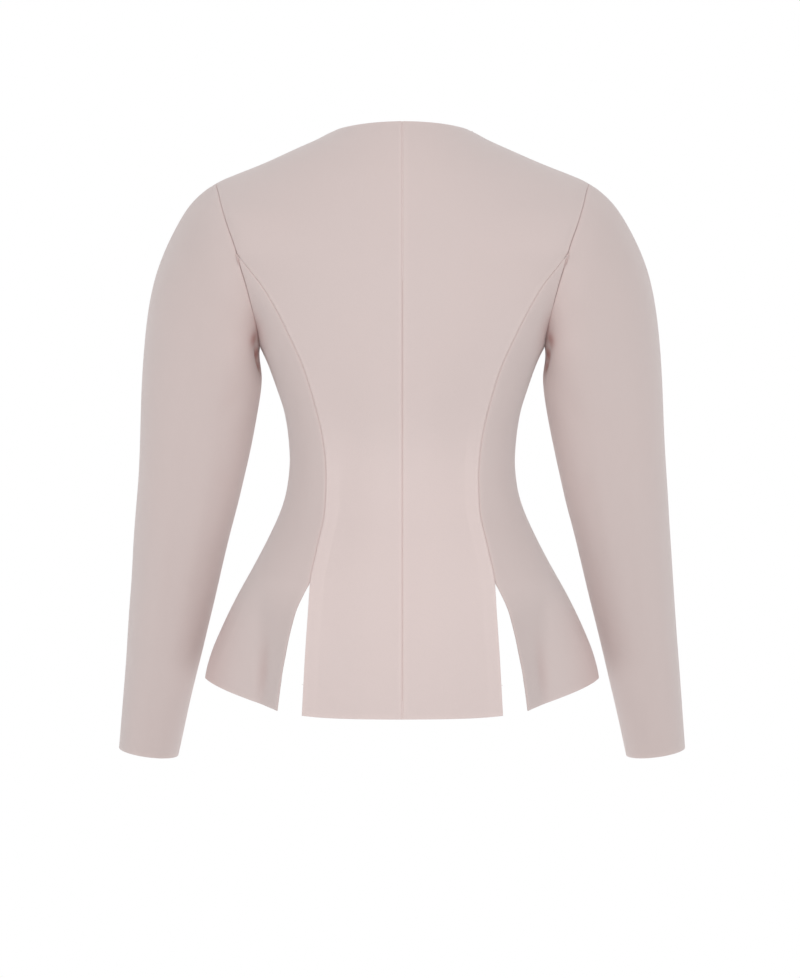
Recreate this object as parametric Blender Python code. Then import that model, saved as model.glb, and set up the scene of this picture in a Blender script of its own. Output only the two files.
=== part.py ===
"""A peplum jacket, filled out as worn and hollow: princess-seamed panels, slit and flared peplum, set-in
sleeves.

The origin is the middle of the neck opening. +Z is up, +Y is the back and +X is the wearer's left. The body is
made of level sections. Each is a curve from the centre seam to the princess seam and another from there to the
side seam, and short tables give where those seams lie at each height. A table's values are millimetres and
degrees, and a seam's turn is how far the section has turned there from sideways (0) towards fore and aft (90).
The front's tables measure depth forwards. Every panel is a cloth wall between its outer surface and a copy
moved inwards, and panels that are sewn together stay a seam gap apart.
"""

import math

import bmesh
import bpy
import numpy as np
from mathutils import Matrix, Vector

MM = 0.001

CLOTH = 2.0
SEAM_GAP = 0.3

NECK_HEIGHT = 0.0
SHOULDER_HEIGHT = -55.0
UNDERARM_HEIGHT = -226.0
BICEP_HEIGHT = -267.0
FRONT_SLIT_TOP = -455.0
BACK_SLIT_TOP = -471.0
HEM_HEIGHT = -606.0
CUFF_HEIGHT = -657.0
SHOULDER_SEAM_DEPTH = -4.0

WING_HEM_AT_SLIT = -602.0
WING_HEM_RISE = 27.5
WING_HEM_BEND = 1.5

LAP_COLUMN = 12.0
LAP_COLUMNS = 3
UNDER_LAP_SINK = 2.4
UNDER_LAP_FULL = 20.0
UNDER_LAP_END = 42.0

ARMHOLE_STEPS = 13
BACK_TIP_STEP = 6
FRONT_TIP_STEP = 7
SHOULDER_HEIGHTS = (-4.0, -8.5, -16.0, -26.0, -37.0, -47.0)
STEPS_TO_FRONT_SLIT = 11
STEPS_TO_HEM = 7
CENTRE_COLUMNS = 7
SIDE_COLUMNS = 6
SIDE_COLUMN_CROWDING = 1.3
TIP_TRIM = 1.6

CAP_STEPS = 8
SLEEVE_STEPS = 13
SLEEVE_CLEARANCE = 0.4
SLEEVE_LEAN_SPAN = 110.0
SLEEVE_SLOPE_REACH = 6.0

BUTTON_HEIGHTS = (-205.0, -250.0, -295.0, -340.0)
BUTTON_GAP = 0.35
BUTTON_SIDES = 16

ARMHOLE_SAMPLES = 40
NORMAL_SHARE_REACH = 0.004
NORMAL_HEIGHT_REACH = 0.8
SHARE_HALVINGS = 40
MERGE_DISTANCE = 0.01
WALL_SHARP_ANGLE = 40.0
BUTTON_SHARP_ANGLE = 50.0

CLOTH_COLOUR = (0.66, 0.55, 0.53, 1.0)
BUTTON_COLOUR = (0.64, 0.53, 0.51, 1.0)
CLOTH_ROUGHNESS = 0.85
BUTTON_ROUGHNESS = 0.8


class Table:
    """Rows of values by one leading column, read between the rows on a curve that never overshoots them."""

    def __init__(self, columns, rows):
        values = np.array(sorted(rows), float)
        self.columns = columns
        self.key = values[:, 0]
        self.values = values[:, 1:]
        self.slopes = np.array([self.slopes_of(column) for column in self.values.T]).T

    def slopes_of(self, column):
        """The curve's slope at each row: level at a peak or a dip, and otherwise between its two neighbours."""
        step = np.diff(self.key)
        rise = np.diff(column) / step
        slopes = np.empty(len(column))
        slopes[0] = rise[0]
        slopes[-1] = rise[-1]
        for i in range(1, len(column) - 1):
            before = rise[i - 1]
            after = rise[i]
            if before * after <= 0:
                slopes[i] = 0
                continue
            near = 2 * step[i] + step[i - 1]
            far = step[i] + 2 * step[i - 1]
            slopes[i] = (near + far) / (near / before + far / after)
        return slopes

    def at(self, key, column):
        """The named column's value where the leading column is key."""
        k = self.columns.index(column) - 1
        key = min(max(key, self.key[0]), self.key[-1])
        i = min(max(int(np.searchsorted(self.key, key)) - 1, 0), len(self.key) - 2)
        step = self.key[i + 1] - self.key[i]
        t = (key - self.key[i]) / step
        low, high = self.values[i, k], self.values[i + 1, k]
        low_slope, high_slope = self.slopes[i, k] * step, self.slopes[i + 1, k] * step
        start = (1 + 2 * t) * (1 - t) ** 2 * low + t * (1 - t) ** 2 * low_slope
        return start + t * t * (3 - 2 * t) * high + t * t * (t - 1) * high_slope


BACK_CENTRE = Table(
    ("height", "depth"),
    [
        (0, 58),
        (-4, 61),
        (-8, 63.5),
        (-16, 68),
        (-28, 75),
        (-41, 80.5),
        (-55, 85.5),
        (-81, 91.5),
        (-103, 96),
        (-125, 100),
        (-148, 102.5),
        (-167, 103),
        (-197, 101.5),
        (-224, 98.5),
        (-254, 94.5),
        (-285, 90),
        (-324, 86),
        (-348, 85),
        (-363, 86),
        (-395, 91),
        (-435, 103),
        (-471, 113),
        (-500, 119),
        (-550, 126),
        (-606, 132),
    ],
)

FRONT_CENTRE = Table(
    ("height", "depth"),
    [
        (0, 30),
        (-28, 52),
        (-55, 66),
        (-81, 78),
        (-110, 89.5),
        (-150, 104),
        (-180, 114),
        (-207, 120.5),
        (-230, 123),
        (-250, 121.5),
        (-270, 117.5),
        (-292, 111),
        (-320, 102.5),
        (-348, 97.5),
        (-378, 98.5),
        (-420, 105),
        (-455, 112),
        (-492, 117),
        (-545, 122),
        (-606, 126),
    ],
)

SHOULDER_SEAM = Table(
    ("height", "half_width"),
    [
        (0, 71),
        (-3.5, 79),
        (-7.5, 86),
        (-11.7, 94.5),
        (-16, 104.5),
        (-20, 113.4),
        (-28.5, 132.5),
        (-37, 152),
        (-45, 173),
        (-55, 196),
    ],
)

SIDE_SEAM = Table(
    ("height", "half_width", "depth"),
    [
        (-226, 150, -6),
        (-235, 145.4, -6),
        (-251, 138.6, -6),
        (-267, 132.8, -6),
        (-298, 123, -5),
        (-330, 118.6, -4),
        (-347, 117.7, -4),
        (-361, 118.7, -4),
        (-377, 121, -4),
        (-393, 125.5, -3),
        (-424, 139, -2),
        (-456, 155.4, -1),
        (-487, 172.7, 0),
        (-519, 188.5, 1),
        (-550, 201, 2),
        (-574.5, 206.5, 3),
        (-606, 208, 3),
    ],
)

BACK_ARMHOLE = [
    (192, 18, -66),
    (188, 33, -81),
    (181, 48, -103),
    (173, 57, -125),
    (167, 60, -146),
    (161, 57, -166),
    (156, 49, -186),
    (151.5, 33, -206),
    (149.5, 12, -221),
]
FRONT_ARMHOLE = [
    (191.5, -22, -66),
    (187, -37, -81),
    (181, -49, -99),
    (173, -59, -119),
    (165, -64, -140),
    (158, -62, -162),
    (153, -53, -185),
    (151, -39, -205),
    (149.5, -22, -221),
]
SHOULDER_POINT = (196, -4, -55)
UNDERARM_POINT = (150, -6, -226)

BACK_PRINCESS_ROWS = [
    (-148, 159.6, 66),
    (-167, 144.7, 74),
    (-197, 127, 80.5),
    (-224, 113.7, 82),
    (-254, 100.5, 81),
    (-285, 91, 78.5),
    (-324, 81.8, 75.5),
    (-348, 79, 74),
    (-363, 78.3, 74.5),
    (-395, 79.2, 80),
    (-435, 87, 91),
    (-471, 94.2, 100),
    (-500, 96, 104.5),
    (-544, 98.9, 108.5),
    (-606, 102.2, 112),
]
FRONT_PRINCESS_ROWS = [
    (-160, 151, 70.5),
    (-175, 135, 85.5),
    (-192, 118.5, 98.5),
    (-212, 102, 107.5),
    (-232, 91, 112),
    (-252, 86, 111),
    (-270, 83.5, 107),
    (-292, 81.5, 100.5),
    (-320, 79.5, 92),
    (-348, 78.5, 87),
    (-378, 80, 88.5),
    (-420, 85, 94.5),
    (-455, 91, 101),
    (-492, 97, 105.5),
    (-545, 100, 110),
    (-606, 103, 114),
]

FULLNESS = Table(
    ("height", "share"),
    [
        (0, 0.85),
        (-16, 0.7),
        (-35, 0.6),
        (-60, 0.6),
        (-85, 0.72),
        (-115, 0.88),
        (-147, 1.0),
        (-606, 1.0),
    ],
)

BACK_TURN = Table(
    ("height", "centre_edge", "side_edge"),
    [
        (0, 90, 90),
        (-55, 90, 90),
        (-58, 81, 81),
        (-66, 67, 67),
        (-81, 56, 56),
        (-103, 48, 48),
        (-125, 43, 45),
        (-137, 40, 45),
        (-150, 36, 50),
        (-167, 32, 58),
        (-186, 29, 68),
        (-206, 27, 80),
        (-226, 26, 90),
        (-285, 24, 90),
        (-348, 25, 90),
        (-395, 24, 90),
        (-435, 20, 90),
        (-471, 18, 90),
        (-606, 20, 90),
    ],
)
FRONT_TURN = Table(
    ("height", "centre_edge", "side_edge"),
    [
        (0, 90, 90),
        (-55, 90, 90),
        (-58, 81, 81),
        (-66, 67, 67),
        (-81, 58, 58),
        (-99, 52, 52),
        (-119, 48, 49),
        (-147, 44, 50),
        (-162, 40, 58),
        (-185, 35, 70),
        (-205, 32, 80),
        (-226, 30, 90),
        (-262, 28, 90),
        (-350, 26, 90),
        (-420, 24, 90),
        (-455, 21, 90),
        (-545, 18, 90),
        (-606, 18, 90),
    ],
)

BACK_WING = Table(
    ("height", "slit_out", "slit_depth", "turn"),
    [
        (-471, 94.2, 100, 18),
        (-484, 101, 99.5, 24),
        (-499, 108, 98, 33),
        (-514, 112.5, 96.5, 41),
        (-530, 116.6, 95, 48),
        (-545, 119.6, 93.5, 53),
        (-560, 122.7, 92.3, 57),
        (-580, 125.8, 91, 60),
        (-606, 129.2, 90, 62),
    ],
)
FRONT_WING = Table(
    ("height", "slit_out", "slit_depth", "turn"),
    [
        (-455, 91, 101, 21),
        (-473, 100, 102, 30),
        (-492, 109.5, 102, 38),
        (-513, 118.5, 101, 47),
        (-530, 125, 99.5, 53),
        (-545, 130.5, 98, 57),
        (-570, 136.5, 96, 62),
        (-606, 142, 94, 65),
    ],
)

SIDE_REACH = Table(
    ("height", "at_princess", "at_side"),
    [
        (-136, 0.35, 0.35),
        (-186, 0.34, 0.37),
        (-235, 0.30, 0.41),
        (-350, 0.30, 0.42),
        (-424, 0.34, 0.40),
        (-463, 0.36, 0.37),
        (-500, 0.33, 0.30),
        (-545, 0.30, 0.22),
        (-606, 0.30, 0.16),
    ],
)

FRONT_EDGE = Table(
    ("height", "out"),
    [
        (0, 71),
        (-20, 65.5),
        (-40, 57),
        (-80, 38.5),
        (-120, 17.5),
        (-150, 0),
        (-175, -13.5),
        (-187, -18),
        (-606, -18),
    ],
)

SLEEVE_RINGS = Table(
    ("height", "inner_side", "outer_side", "centre_depth", "half_depth"),
    [
        (-267, 147, 273, -6, 60),
        (-300, 153.6, 274.5, -8, 58.5),
        (-345, 164, 276.5, -13, 56.5),
        (-377, 172, 279, -18, 55),
        (-410, 181, 282, -24, 53.5),
        (-440, 188.5, 284.5, -30, 52),
        (-480, 198, 287.5, -37.5, 50),
        (-520, 208, 291, -44.5, 48),
        (-560, 218, 294.5, -50, 46),
        (-600, 227.5, 298, -53.5, 44.5),
        (-657, 240, 302.5, -56, 43),
    ],
)

SLEEVE_CAP = Table(
    ("share_round", "out", "back", "down", "rise_reach", "drop_reach"),
    [
        (0.0, 0.79, 0.0, -0.62, 70, 95),
        (0.15, 0.78, 0.10, -0.62, 66, 84),
        (0.3, 0.77, 0.18, -0.61, 58, 66),
        (0.5, 0.74, 0.20, -0.64, 44, 42),
        (0.65, 0.62, 0.14, -0.77, 30, 30),
        (0.8, 0.42, 0.06, -0.91, 20, 22),
        (0.92, 0.24, 0.02, -0.97, 14, 16),
        (1.0, 0.18, 0.0, -0.98, 12, 14),
    ],
)

BUTTON_PROFILE = [
    (0.0, 0.0),
    (3.5, 0.0),
    (3.5, 1.6),
    (9.0, 1.6),
    (10.0, 2.5),
    (9.4, 3.7),
    (7.0, 4.9),
    (3.6, 5.6),
    (0.0, 5.8),
]


def clear_scene():
    """Removes whatever the scene holds."""
    for old in list(bpy.data.objects):
        bpy.data.objects.remove(old, do_unlink=True)


def material(name, colour, roughness):
    """A plain finish for one sub-part."""
    made = bpy.data.materials.new(name)
    made.use_nodes = True
    shader = made.node_tree.nodes["Principled BSDF"]
    shader.inputs["Base Color"].default_value = colour
    shader.inputs["Roughness"].default_value = roughness
    shader.inputs["Metallic"].default_value = 0.0
    made.diffuse_color = colour
    return made


def armhole_loop(side_points):
    """Equal steps down one half of the armhole, from the shoulder point to the underarm.

    Both halves together are one smooth closed curve, so each half meets the other without a corner.
    """
    other = FRONT_ARMHOLE if side_points is BACK_ARMHOLE else BACK_ARMHOLE
    points = [other[0], SHOULDER_POINT, *side_points, UNDERARM_POINT, other[-1]]
    points = [np.array(point, float) for point in points]
    dense = []
    for i in range(1, len(points) - 2):
        span = np.linalg.norm(points[i + 1] - points[i])
        before = np.linalg.norm(points[i] - points[i - 1])
        after = np.linalg.norm(points[i + 2] - points[i + 1])
        start = (points[i + 1] - points[i - 1]) * span / (span + before)
        end = (points[i + 2] - points[i]) * span / (span + after)
        for t in np.linspace(0, 1, ARMHOLE_SAMPLES, endpoint=False):
            dense.append(
                (1 + 2 * t) * (1 - t) ** 2 * points[i]
                + t * (1 - t) ** 2 * start
                + t * t * (3 - 2 * t) * points[i + 1]
                + t * t * (t - 1) * end
            )
    dense.append(points[-2])
    dense = np.array(dense)
    along = np.concatenate([[0], np.cumsum(np.linalg.norm(np.diff(dense, axis=0), axis=1))])
    return dense, along


class ArmholeHalf:
    """The back or the front half of the armhole seam."""

    def __init__(self, side_points):
        self.dense, self.along = armhole_loop(side_points)
        self.length = self.along[-1]

    def at_share(self, share):
        """The seam's point at this share of its length, from the shoulder."""
        return np.array([np.interp(share * self.length, self.along, axis) for axis in self.dense.T])

    def at_height(self, height):
        """How far out and how deep the seam lies at this height."""
        heights = -self.dense[:, 2]
        out = np.interp(-height, heights, self.dense[:, 0])
        depth = np.interp(-height, heights, self.dense[:, 1])
        return out, depth

    def heights(self):
        """The heights of the equal steps along the seam, with both ends."""
        return [self.at_share(i / ARMHOLE_STEPS)[2] for i in range(ARMHOLE_STEPS + 1)]


def bezier(controls, share):
    """A point of the section's curve."""
    a, b, c, d = controls
    s = 1 - share
    return s**3 * a + 3 * s * s * share * b + 3 * s * share * share * c + share**3 * d


def heading(turn):
    """The way a section runs once it has turned this many degrees."""
    return np.array([math.cos(math.radians(turn)), -math.sin(math.radians(turn))])


def rounded(start, start_turn, end, end_turn, fullness):
    """The curve between two seams that turns evenly at a fullness of 1, and lies straighter below that."""
    leave, arrive = heading(start_turn), heading(end_turn)
    legs = np.linalg.solve(np.array([leave, arrive]).T, end - start)
    turned = math.radians(end_turn - start_turn)
    share = 4 / 3 * math.tan(turned / 4) / math.tan(turned / 2) * fullness
    return start, start + leave * legs[0] * share, end - arrive * legs[1] * share, end


def reached(start, start_turn, end, end_turn, reaches):
    """The curve between two seams with given reaches, as shares of the straight distance."""
    chord = np.linalg.norm(end - start)
    leave = heading(start_turn) * reaches[0] * chord
    arrive = heading(end_turn) * reaches[1] * chord
    return start, start + leave, end - arrive, end


class BodySide:
    """The back or the front of the body, on the wearer's left, with depth measured away from the middle."""

    def __init__(self, facing, centre, turn, armhole_points, tip_step, princess_rows, wing):
        self.facing = facing
        self.centre = centre
        self.turn = turn
        self.armhole = ArmholeHalf(armhole_points)
        self.tip = self.armhole.at_share(tip_step / ARMHOLE_STEPS)
        tip_row = (self.tip[2], self.tip[0], self.tip[1] * facing)
        self.princess = Table(("height", "out", "depth"), [tip_row, *princess_rows])
        self.wing = wing
        self.slit_top = wing.key[-1]

    def armhole_edge(self, height):
        """Where the armhole seam lies at this height."""
        out, depth = self.armhole.at_height(height)
        return np.array([out, depth * self.facing])

    def centre_edge(self, height):
        """The centre panel's outer edge: the shoulder seam, then the armhole, then the princess seam."""
        if height >= SHOULDER_HEIGHT:
            return np.array([SHOULDER_SEAM.at(height, "half_width"), SHOULDER_SEAM_DEPTH * self.facing])
        if height >= self.tip[2]:
            return self.armhole_edge(height)
        return np.array([self.princess.at(height, "out"), self.princess.at(height, "depth")])

    def centre_section(self, height):
        """The level curve from the centre line to the centre panel's outer edge."""
        start = np.array([0.0, self.centre.at(height, "depth")])
        turn, fullness = self.turn.at(height, "centre_edge"), FULLNESS.at(height, "share")
        return rounded(start, 0.0, self.centre_edge(height), turn, fullness)

    def side_edge(self, height):
        """The side panel's outer edge: the armhole, then the side seam."""
        if height >= UNDERARM_HEIGHT:
            return self.armhole_edge(height)
        out = SIDE_SEAM.at(height, "half_width")
        return np.array([out, SIDE_SEAM.at(height, "depth") * self.facing])

    def side_section(self, height):
        """The level curve from the princess seam, or the slit, to the side panel's outer edge."""
        if height >= self.slit_top:
            start = np.array([self.princess.at(height, "out"), self.princess.at(height, "depth")])
            start_turn = self.turn.at(height, "centre_edge")
        else:
            start = np.array([self.wing.at(height, "slit_out"), self.wing.at(height, "slit_depth")])
            start_turn = self.wing.at(height, "turn")
        reaches = (SIDE_REACH.at(height, "at_princess"), SIDE_REACH.at(height, "at_side"))
        end_turn = self.turn.at(height, "side_edge")
        return reached(start, start_turn, self.side_edge(height), end_turn, reaches)


BACK = BodySide(1, BACK_CENTRE, BACK_TURN, BACK_ARMHOLE, BACK_TIP_STEP, BACK_PRINCESS_ROWS, BACK_WING)
FRONT = BodySide(-1, FRONT_CENTRE, FRONT_TURN, FRONT_ARMHOLE, FRONT_TIP_STEP, FRONT_PRINCESS_ROWS, FRONT_WING)


class Surface:
    """The outer surface of the centre or the side panels of one body side."""

    def __init__(self, body_side, section, top):
        self.body_side = body_side
        self.section = section
        self.top = top

    def point(self, height, share):
        """A point by its height and its share of the way out. A share below 0 lies past the centre line."""
        out, depth = bezier(self.section(height), abs(share))
        return np.array([math.copysign(out, share), depth * self.body_side.facing, height])

    def normal(self, height, share):
        """The outward direction there."""
        low, high = (share, share + NORMAL_SHARE_REACH) if share <= 0.5 else (share - NORMAL_SHARE_REACH, share)
        across = self.point(height, high) - self.point(height, low)
        above = self.point(min(height + NORMAL_HEIGHT_REACH, self.top), share)
        down = self.point(max(height - NORMAL_HEIGHT_REACH, HEM_HEIGHT), share) - above
        straight_out = np.cross(across, down) * self.body_side.facing
        return straight_out / np.linalg.norm(straight_out)

    def share_at(self, height, out):
        """The share of the way out at which the section is this far from the centre line."""
        low, high = 0.0, 1.0
        for _ in range(SHARE_HALVINGS):
            middle = (low + high) / 2
            if bezier(self.section(height), middle)[0] < abs(out):
                low = middle
            else:
                high = middle
        return math.copysign(low, out)


def body_heights(body_side):
    """The heights of a body side's rows, shoulder to slit and hem, with the armhole's own steps between."""
    rows = [NECK_HEIGHT, *SHOULDER_HEIGHTS, *body_side.armhole.heights(), body_side.tip[2] - TIP_TRIM]
    rows += list(np.linspace(UNDERARM_HEIGHT, FRONT_SLIT_TOP, STEPS_TO_FRONT_SLIT + 1)[1:])
    rows += list(np.linspace(BACK_SLIT_TOP, HEM_HEIGHT, STEPS_TO_HEM + 1))
    return sorted(rows, reverse=True)


def trimmed(row):
    """The row with both ends drawn back by half a seam gap."""
    row = [np.array(point) for point in row]
    for end, inner in ((0, 1), (-1, -2)):
        inward = row[inner] - row[end]
        row[end] = row[end] + inward / np.linalg.norm(inward) * SEAM_GAP / 2
    return row


def centre_panel(body_side):
    """The rows of points and normals of a centre panel that starts on the centre line."""
    surface = Surface(body_side, body_side.centre_section, NECK_HEIGHT)
    points, normals = [], []
    for height in body_heights(body_side):
        shares = np.linspace(0, 1, CENTRE_COLUMNS + 1)
        points.append(trimmed([surface.point(height, share) for share in shares]))
        normals.append([surface.normal(height, share) for share in shares])
    return points, normals


def lap_sink(out):
    """How far the under front lies inside the body's surface, this far from the centre line."""
    share = (UNDER_LAP_END - out) / (UNDER_LAP_END - UNDER_LAP_FULL)
    share = min(max(share, 0.0), 1.0)
    return UNDER_LAP_SINK * share * share * (3 - 2 * share)


def front_panel(is_under):
    """The rows of points and normals of a front, from its neck and lap edge to its outer seams."""
    surface = Surface(FRONT, FRONT.centre_section, NECK_HEIGHT)
    points, normals = [], []
    for height in body_heights(FRONT):
        height = min(height, NECK_HEIGHT - TIP_TRIM / 2)
        edge = FRONT_EDGE.at(height, "out")
        width = FRONT.centre_edge(height)[0] - edge
        step = min(LAP_COLUMN, width / (CENTRE_COLUMNS + 1))
        shares = [surface.share_at(height, edge + i * step) for i in range(LAP_COLUMNS + 1)]
        shares += list(np.linspace(shares[-1], 1, CENTRE_COLUMNS - LAP_COLUMNS + 1)[1:])
        row = [surface.point(height, share) for share in shares]
        row_normals = [surface.normal(height, share) for share in shares]
        if is_under:
            row = [point - out * lap_sink(point[0]) for point, out in zip(row, row_normals)]
        points.append(trimmed(row))
        normals.append(row_normals)
    return points, normals


def wing_hem(share):
    """The height of the peplum side's hem, this share of the way from the slit to the side fold."""
    return WING_HEM_AT_SLIT + WING_HEM_RISE * share**WING_HEM_BEND


def side_panel(body_side):
    """The rows of points and normals of a side panel, from its tip at the armhole to its rising hem."""
    tip = body_side.tip[2]
    surface = Surface(body_side, body_side.side_section, tip)
    shares = [1 - (1 - i / SIDE_COLUMNS) ** SIDE_COLUMN_CROWDING for i in range(SIDE_COLUMNS + 1)]
    heights = [height for height in body_heights(body_side) if height < tip - TIP_TRIM / 2]
    points, normals = [], []
    for height in heights:
        below = max((BACK_SLIT_TOP - height) / (BACK_SLIT_TOP - HEM_HEIGHT), 0)
        row, row_normals = [], []
        for share in shares:
            own_height = height
            if below > 0:
                own_height = BACK_SLIT_TOP + below * (wing_hem(share) - BACK_SLIT_TOP)
            row.append(surface.point(own_height, share))
            row_normals.append(surface.normal(own_height, share))
        points.append(trimmed(row))
        normals.append(row_normals)
    return points, normals


def sleeve_ring(height, angle):
    """A sleeve point below the bicep, by the height of its ring's centre and the angle from the outer side.

    Below the bicep the rings come to lie square to the sleeve's own line.
    """
    inner, outer = SLEEVE_RINGS.at(height, "inner_side"), SLEEVE_RINGS.at(height, "outer_side")
    across = (outer - inner) / 2 * math.cos(angle)
    back = SLEEVE_RINGS.at(height, "half_depth") * math.sin(angle)
    lean = min(max((BICEP_HEIGHT - height) / SLEEVE_LEAN_SPAN, 0), 1)
    above = min(height + SLEEVE_SLOPE_REACH, BICEP_HEIGHT)
    below = max(height - SLEEVE_SLOPE_REACH, CUFF_HEIGHT)
    out_slope, back_slope = (sleeve_middle(below) - sleeve_middle(above)) / (below - above)
    rise = -(out_slope * across + back_slope * back) * lean
    middle_out, middle_depth = sleeve_middle(height)
    return np.array([middle_out + across, middle_depth + back, height + rise])


def sleeve_middle(height):
    """How far out and how deep the middle of the sleeve lies at this height."""
    inner, outer = SLEEVE_RINGS.at(height, "inner_side"), SLEEVE_RINGS.at(height, "outer_side")
    return np.array([(inner + outer) / 2, SLEEVE_RINGS.at(height, "centre_depth")])


def cap_line(body_side, share):
    """The control points of the sleeve cap's line from the armhole, this share round from the shoulder."""
    start = body_side.armhole.at_share(share) + np.array([SLEEVE_CLEARANCE, 0, 0])
    end = sleeve_ring(BICEP_HEIGHT, math.pi * share * body_side.facing)
    leave = np.array([SLEEVE_CAP.at(share, axis) for axis in ("out", "back", "down")])
    leave[1] *= body_side.facing
    rise, drop = SLEEVE_CAP.at(share, "rise_reach"), SLEEVE_CAP.at(share, "drop_reach")
    return start, start + leave * rise, end + np.array([0, 0, drop]), end


def sleeve():
    """The rows of points and normals of a sleeve, armhole to cuff, round from its underarm seam."""
    columns = [(BACK, 1 - i / ARMHOLE_STEPS) for i in range(ARMHOLE_STEPS)]
    columns += [(FRONT, i / ARMHOLE_STEPS) for i in range(ARMHOLE_STEPS + 1)]
    rows = []
    for step in range(CAP_STEPS):
        rows.append([bezier(cap_line(side, share), step / CAP_STEPS) for side, share in columns])
    for height in np.linspace(BICEP_HEIGHT, CUFF_HEIGHT, SLEEVE_STEPS + 1):
        rows.append([sleeve_ring(height, math.pi * share * side.facing) for side, share in columns])
    points = np.array(rows)
    down = np.gradient(points, axis=0)
    ring = np.concatenate([points[:, -2:-1], points, points[:, 1:2]], axis=1)
    around = ring[:, 2:] - ring[:, :-2]
    normals = np.cross(around, down)
    normals /= np.linalg.norm(normals, axis=2)[..., None]
    return [trimmed(row) for row in points], normals


def wall(name, rows, normals, is_left, finish):
    """A cloth wall with its outer face through the rows, closed round its edges."""
    mirror = np.array([1 if is_left else -1, 1, 1])
    outer = np.array(rows) * mirror
    inner = outer - np.array(normals) * mirror * CLOTH
    body = bmesh.new()
    sheets = [[[body.verts.new(Vector(p) * MM) for p in row] for row in sheet] for sheet in (outer, inner)]
    count_down, count_across = len(rows), len(rows[0])
    for sheet in sheets:
        for i in range(count_down - 1):
            for j in range(count_across - 1):
                body.faces.new((sheet[i][j], sheet[i + 1][j], sheet[i + 1][j + 1], sheet[i][j + 1]))
    border = [(0, j) for j in range(count_across)]
    border += [(i, count_across - 1) for i in range(1, count_down)]
    border += [(count_down - 1, j) for j in range(count_across - 2, -1, -1)]
    border += [(i, 0) for i in range(count_down - 2, 0, -1)]
    for (i, j), (k, m) in zip(border, border[1:] + border[:1]):
        body.faces.new((sheets[0][i][j], sheets[0][k][m], sheets[1][k][m], sheets[1][i][j]))
    bmesh.ops.recalc_face_normals(body, faces=body.faces)
    bmesh.ops.triangulate(body, faces=body.faces)
    mesh = bpy.data.meshes.new(name)
    body.to_mesh(mesh)
    body.free()
    mesh.shade_smooth()
    mesh.set_sharp_from_angle(angle=math.radians(WALL_SHARP_ANGLE))
    mesh.materials.append(finish)
    made = bpy.data.objects.new(name, mesh)
    bpy.context.collection.objects.link(made)
    return made


def button_mesh(finish):
    """A covered button with its shank, turned about Z, that sits on the cloth at height 0."""
    body = bmesh.new()
    profile = [body.verts.new((out * MM, 0, height * MM)) for out, height in BUTTON_PROFILE]
    edges = [body.edges.new(pair) for pair in zip(profile, profile[1:])]
    bmesh.ops.spin(
        body,
        geom=profile + edges,
        cent=(0, 0, 0),
        axis=(0, 0, 1),
        angle=2 * math.pi,
        steps=BUTTON_SIDES,
        use_merge=True,
    )
    bmesh.ops.remove_doubles(body, verts=body.verts, dist=MERGE_DISTANCE * MM)
    bmesh.ops.recalc_face_normals(body, faces=body.faces)
    mesh = bpy.data.meshes.new("button")
    body.to_mesh(mesh)
    body.free()
    mesh.shade_smooth()
    mesh.set_sharp_from_angle(angle=math.radians(BUTTON_SHARP_ANGLE))
    mesh.materials.append(finish)
    return mesh


def button_seat(height):
    """Where a button meets the lap's centre line, on the flat between two rows, and the way it faces."""
    surface = Surface(FRONT, FRONT.centre_section, NECK_HEIGHT)
    heights = body_heights(FRONT)
    above = min(row for row in heights if row >= height)
    below = max(row for row in heights if row < height)
    top, bottom = surface.point(above, 0.0), surface.point(below, 0.0)
    down = bottom - top
    seat = top + down * (above - height) / (above - below)
    out = np.array([0.0, down[2], -down[1]]) / np.linalg.norm(down)
    return seat, out


def place_buttons(finish):
    """The buttons in a row on the lap's centre line."""
    mesh = button_mesh(finish)
    for i, height in enumerate(BUTTON_HEIGHTS):
        seat, out = button_seat(height)
        button = bpy.data.objects.new(f"button_{i + 1}", mesh)
        bpy.context.collection.objects.link(button)
        turned = Vector(out).to_track_quat("Z", "Y").to_matrix().to_4x4()
        button.matrix_world = Matrix.Translation(Vector(seat + out * BUTTON_GAP) * MM) @ turned


def main():
    """Builds the ten cloth pieces, each side in turn, and then the buttons."""
    clear_scene()
    for side, is_left in (("left", True), ("right", False)):
        for name, panel in (
            ("back", centre_panel(BACK)),
            ("side_back", side_panel(BACK)),
            ("front", front_panel(is_under=is_left)),
            ("side_front", side_panel(FRONT)),
            ("sleeve", sleeve()),
        ):
            node = f"{name}_{side}"
            wall(node, *panel, is_left, material(node, CLOTH_COLOUR, CLOTH_ROUGHNESS))
    place_buttons(material("button_cloth", BUTTON_COLOUR, BUTTON_ROUGHNESS))


main()
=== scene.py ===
"""The looks of the peplum jacket: fine cloth panels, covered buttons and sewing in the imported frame.

Sizes are millimetres and degrees, and meshes are written in metres. The origin is the middle of the neck
opening, +Z is up, +Y is the back and +X is the wearer's left. Each panel lies on the same surface as its
solid: level curves between seams whose places short tables give at each height.
"""

import logging
import math
from dataclasses import dataclass
from enum import Enum

import bpy
import numpy as np
from mathutils import Matrix, Vector


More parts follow.
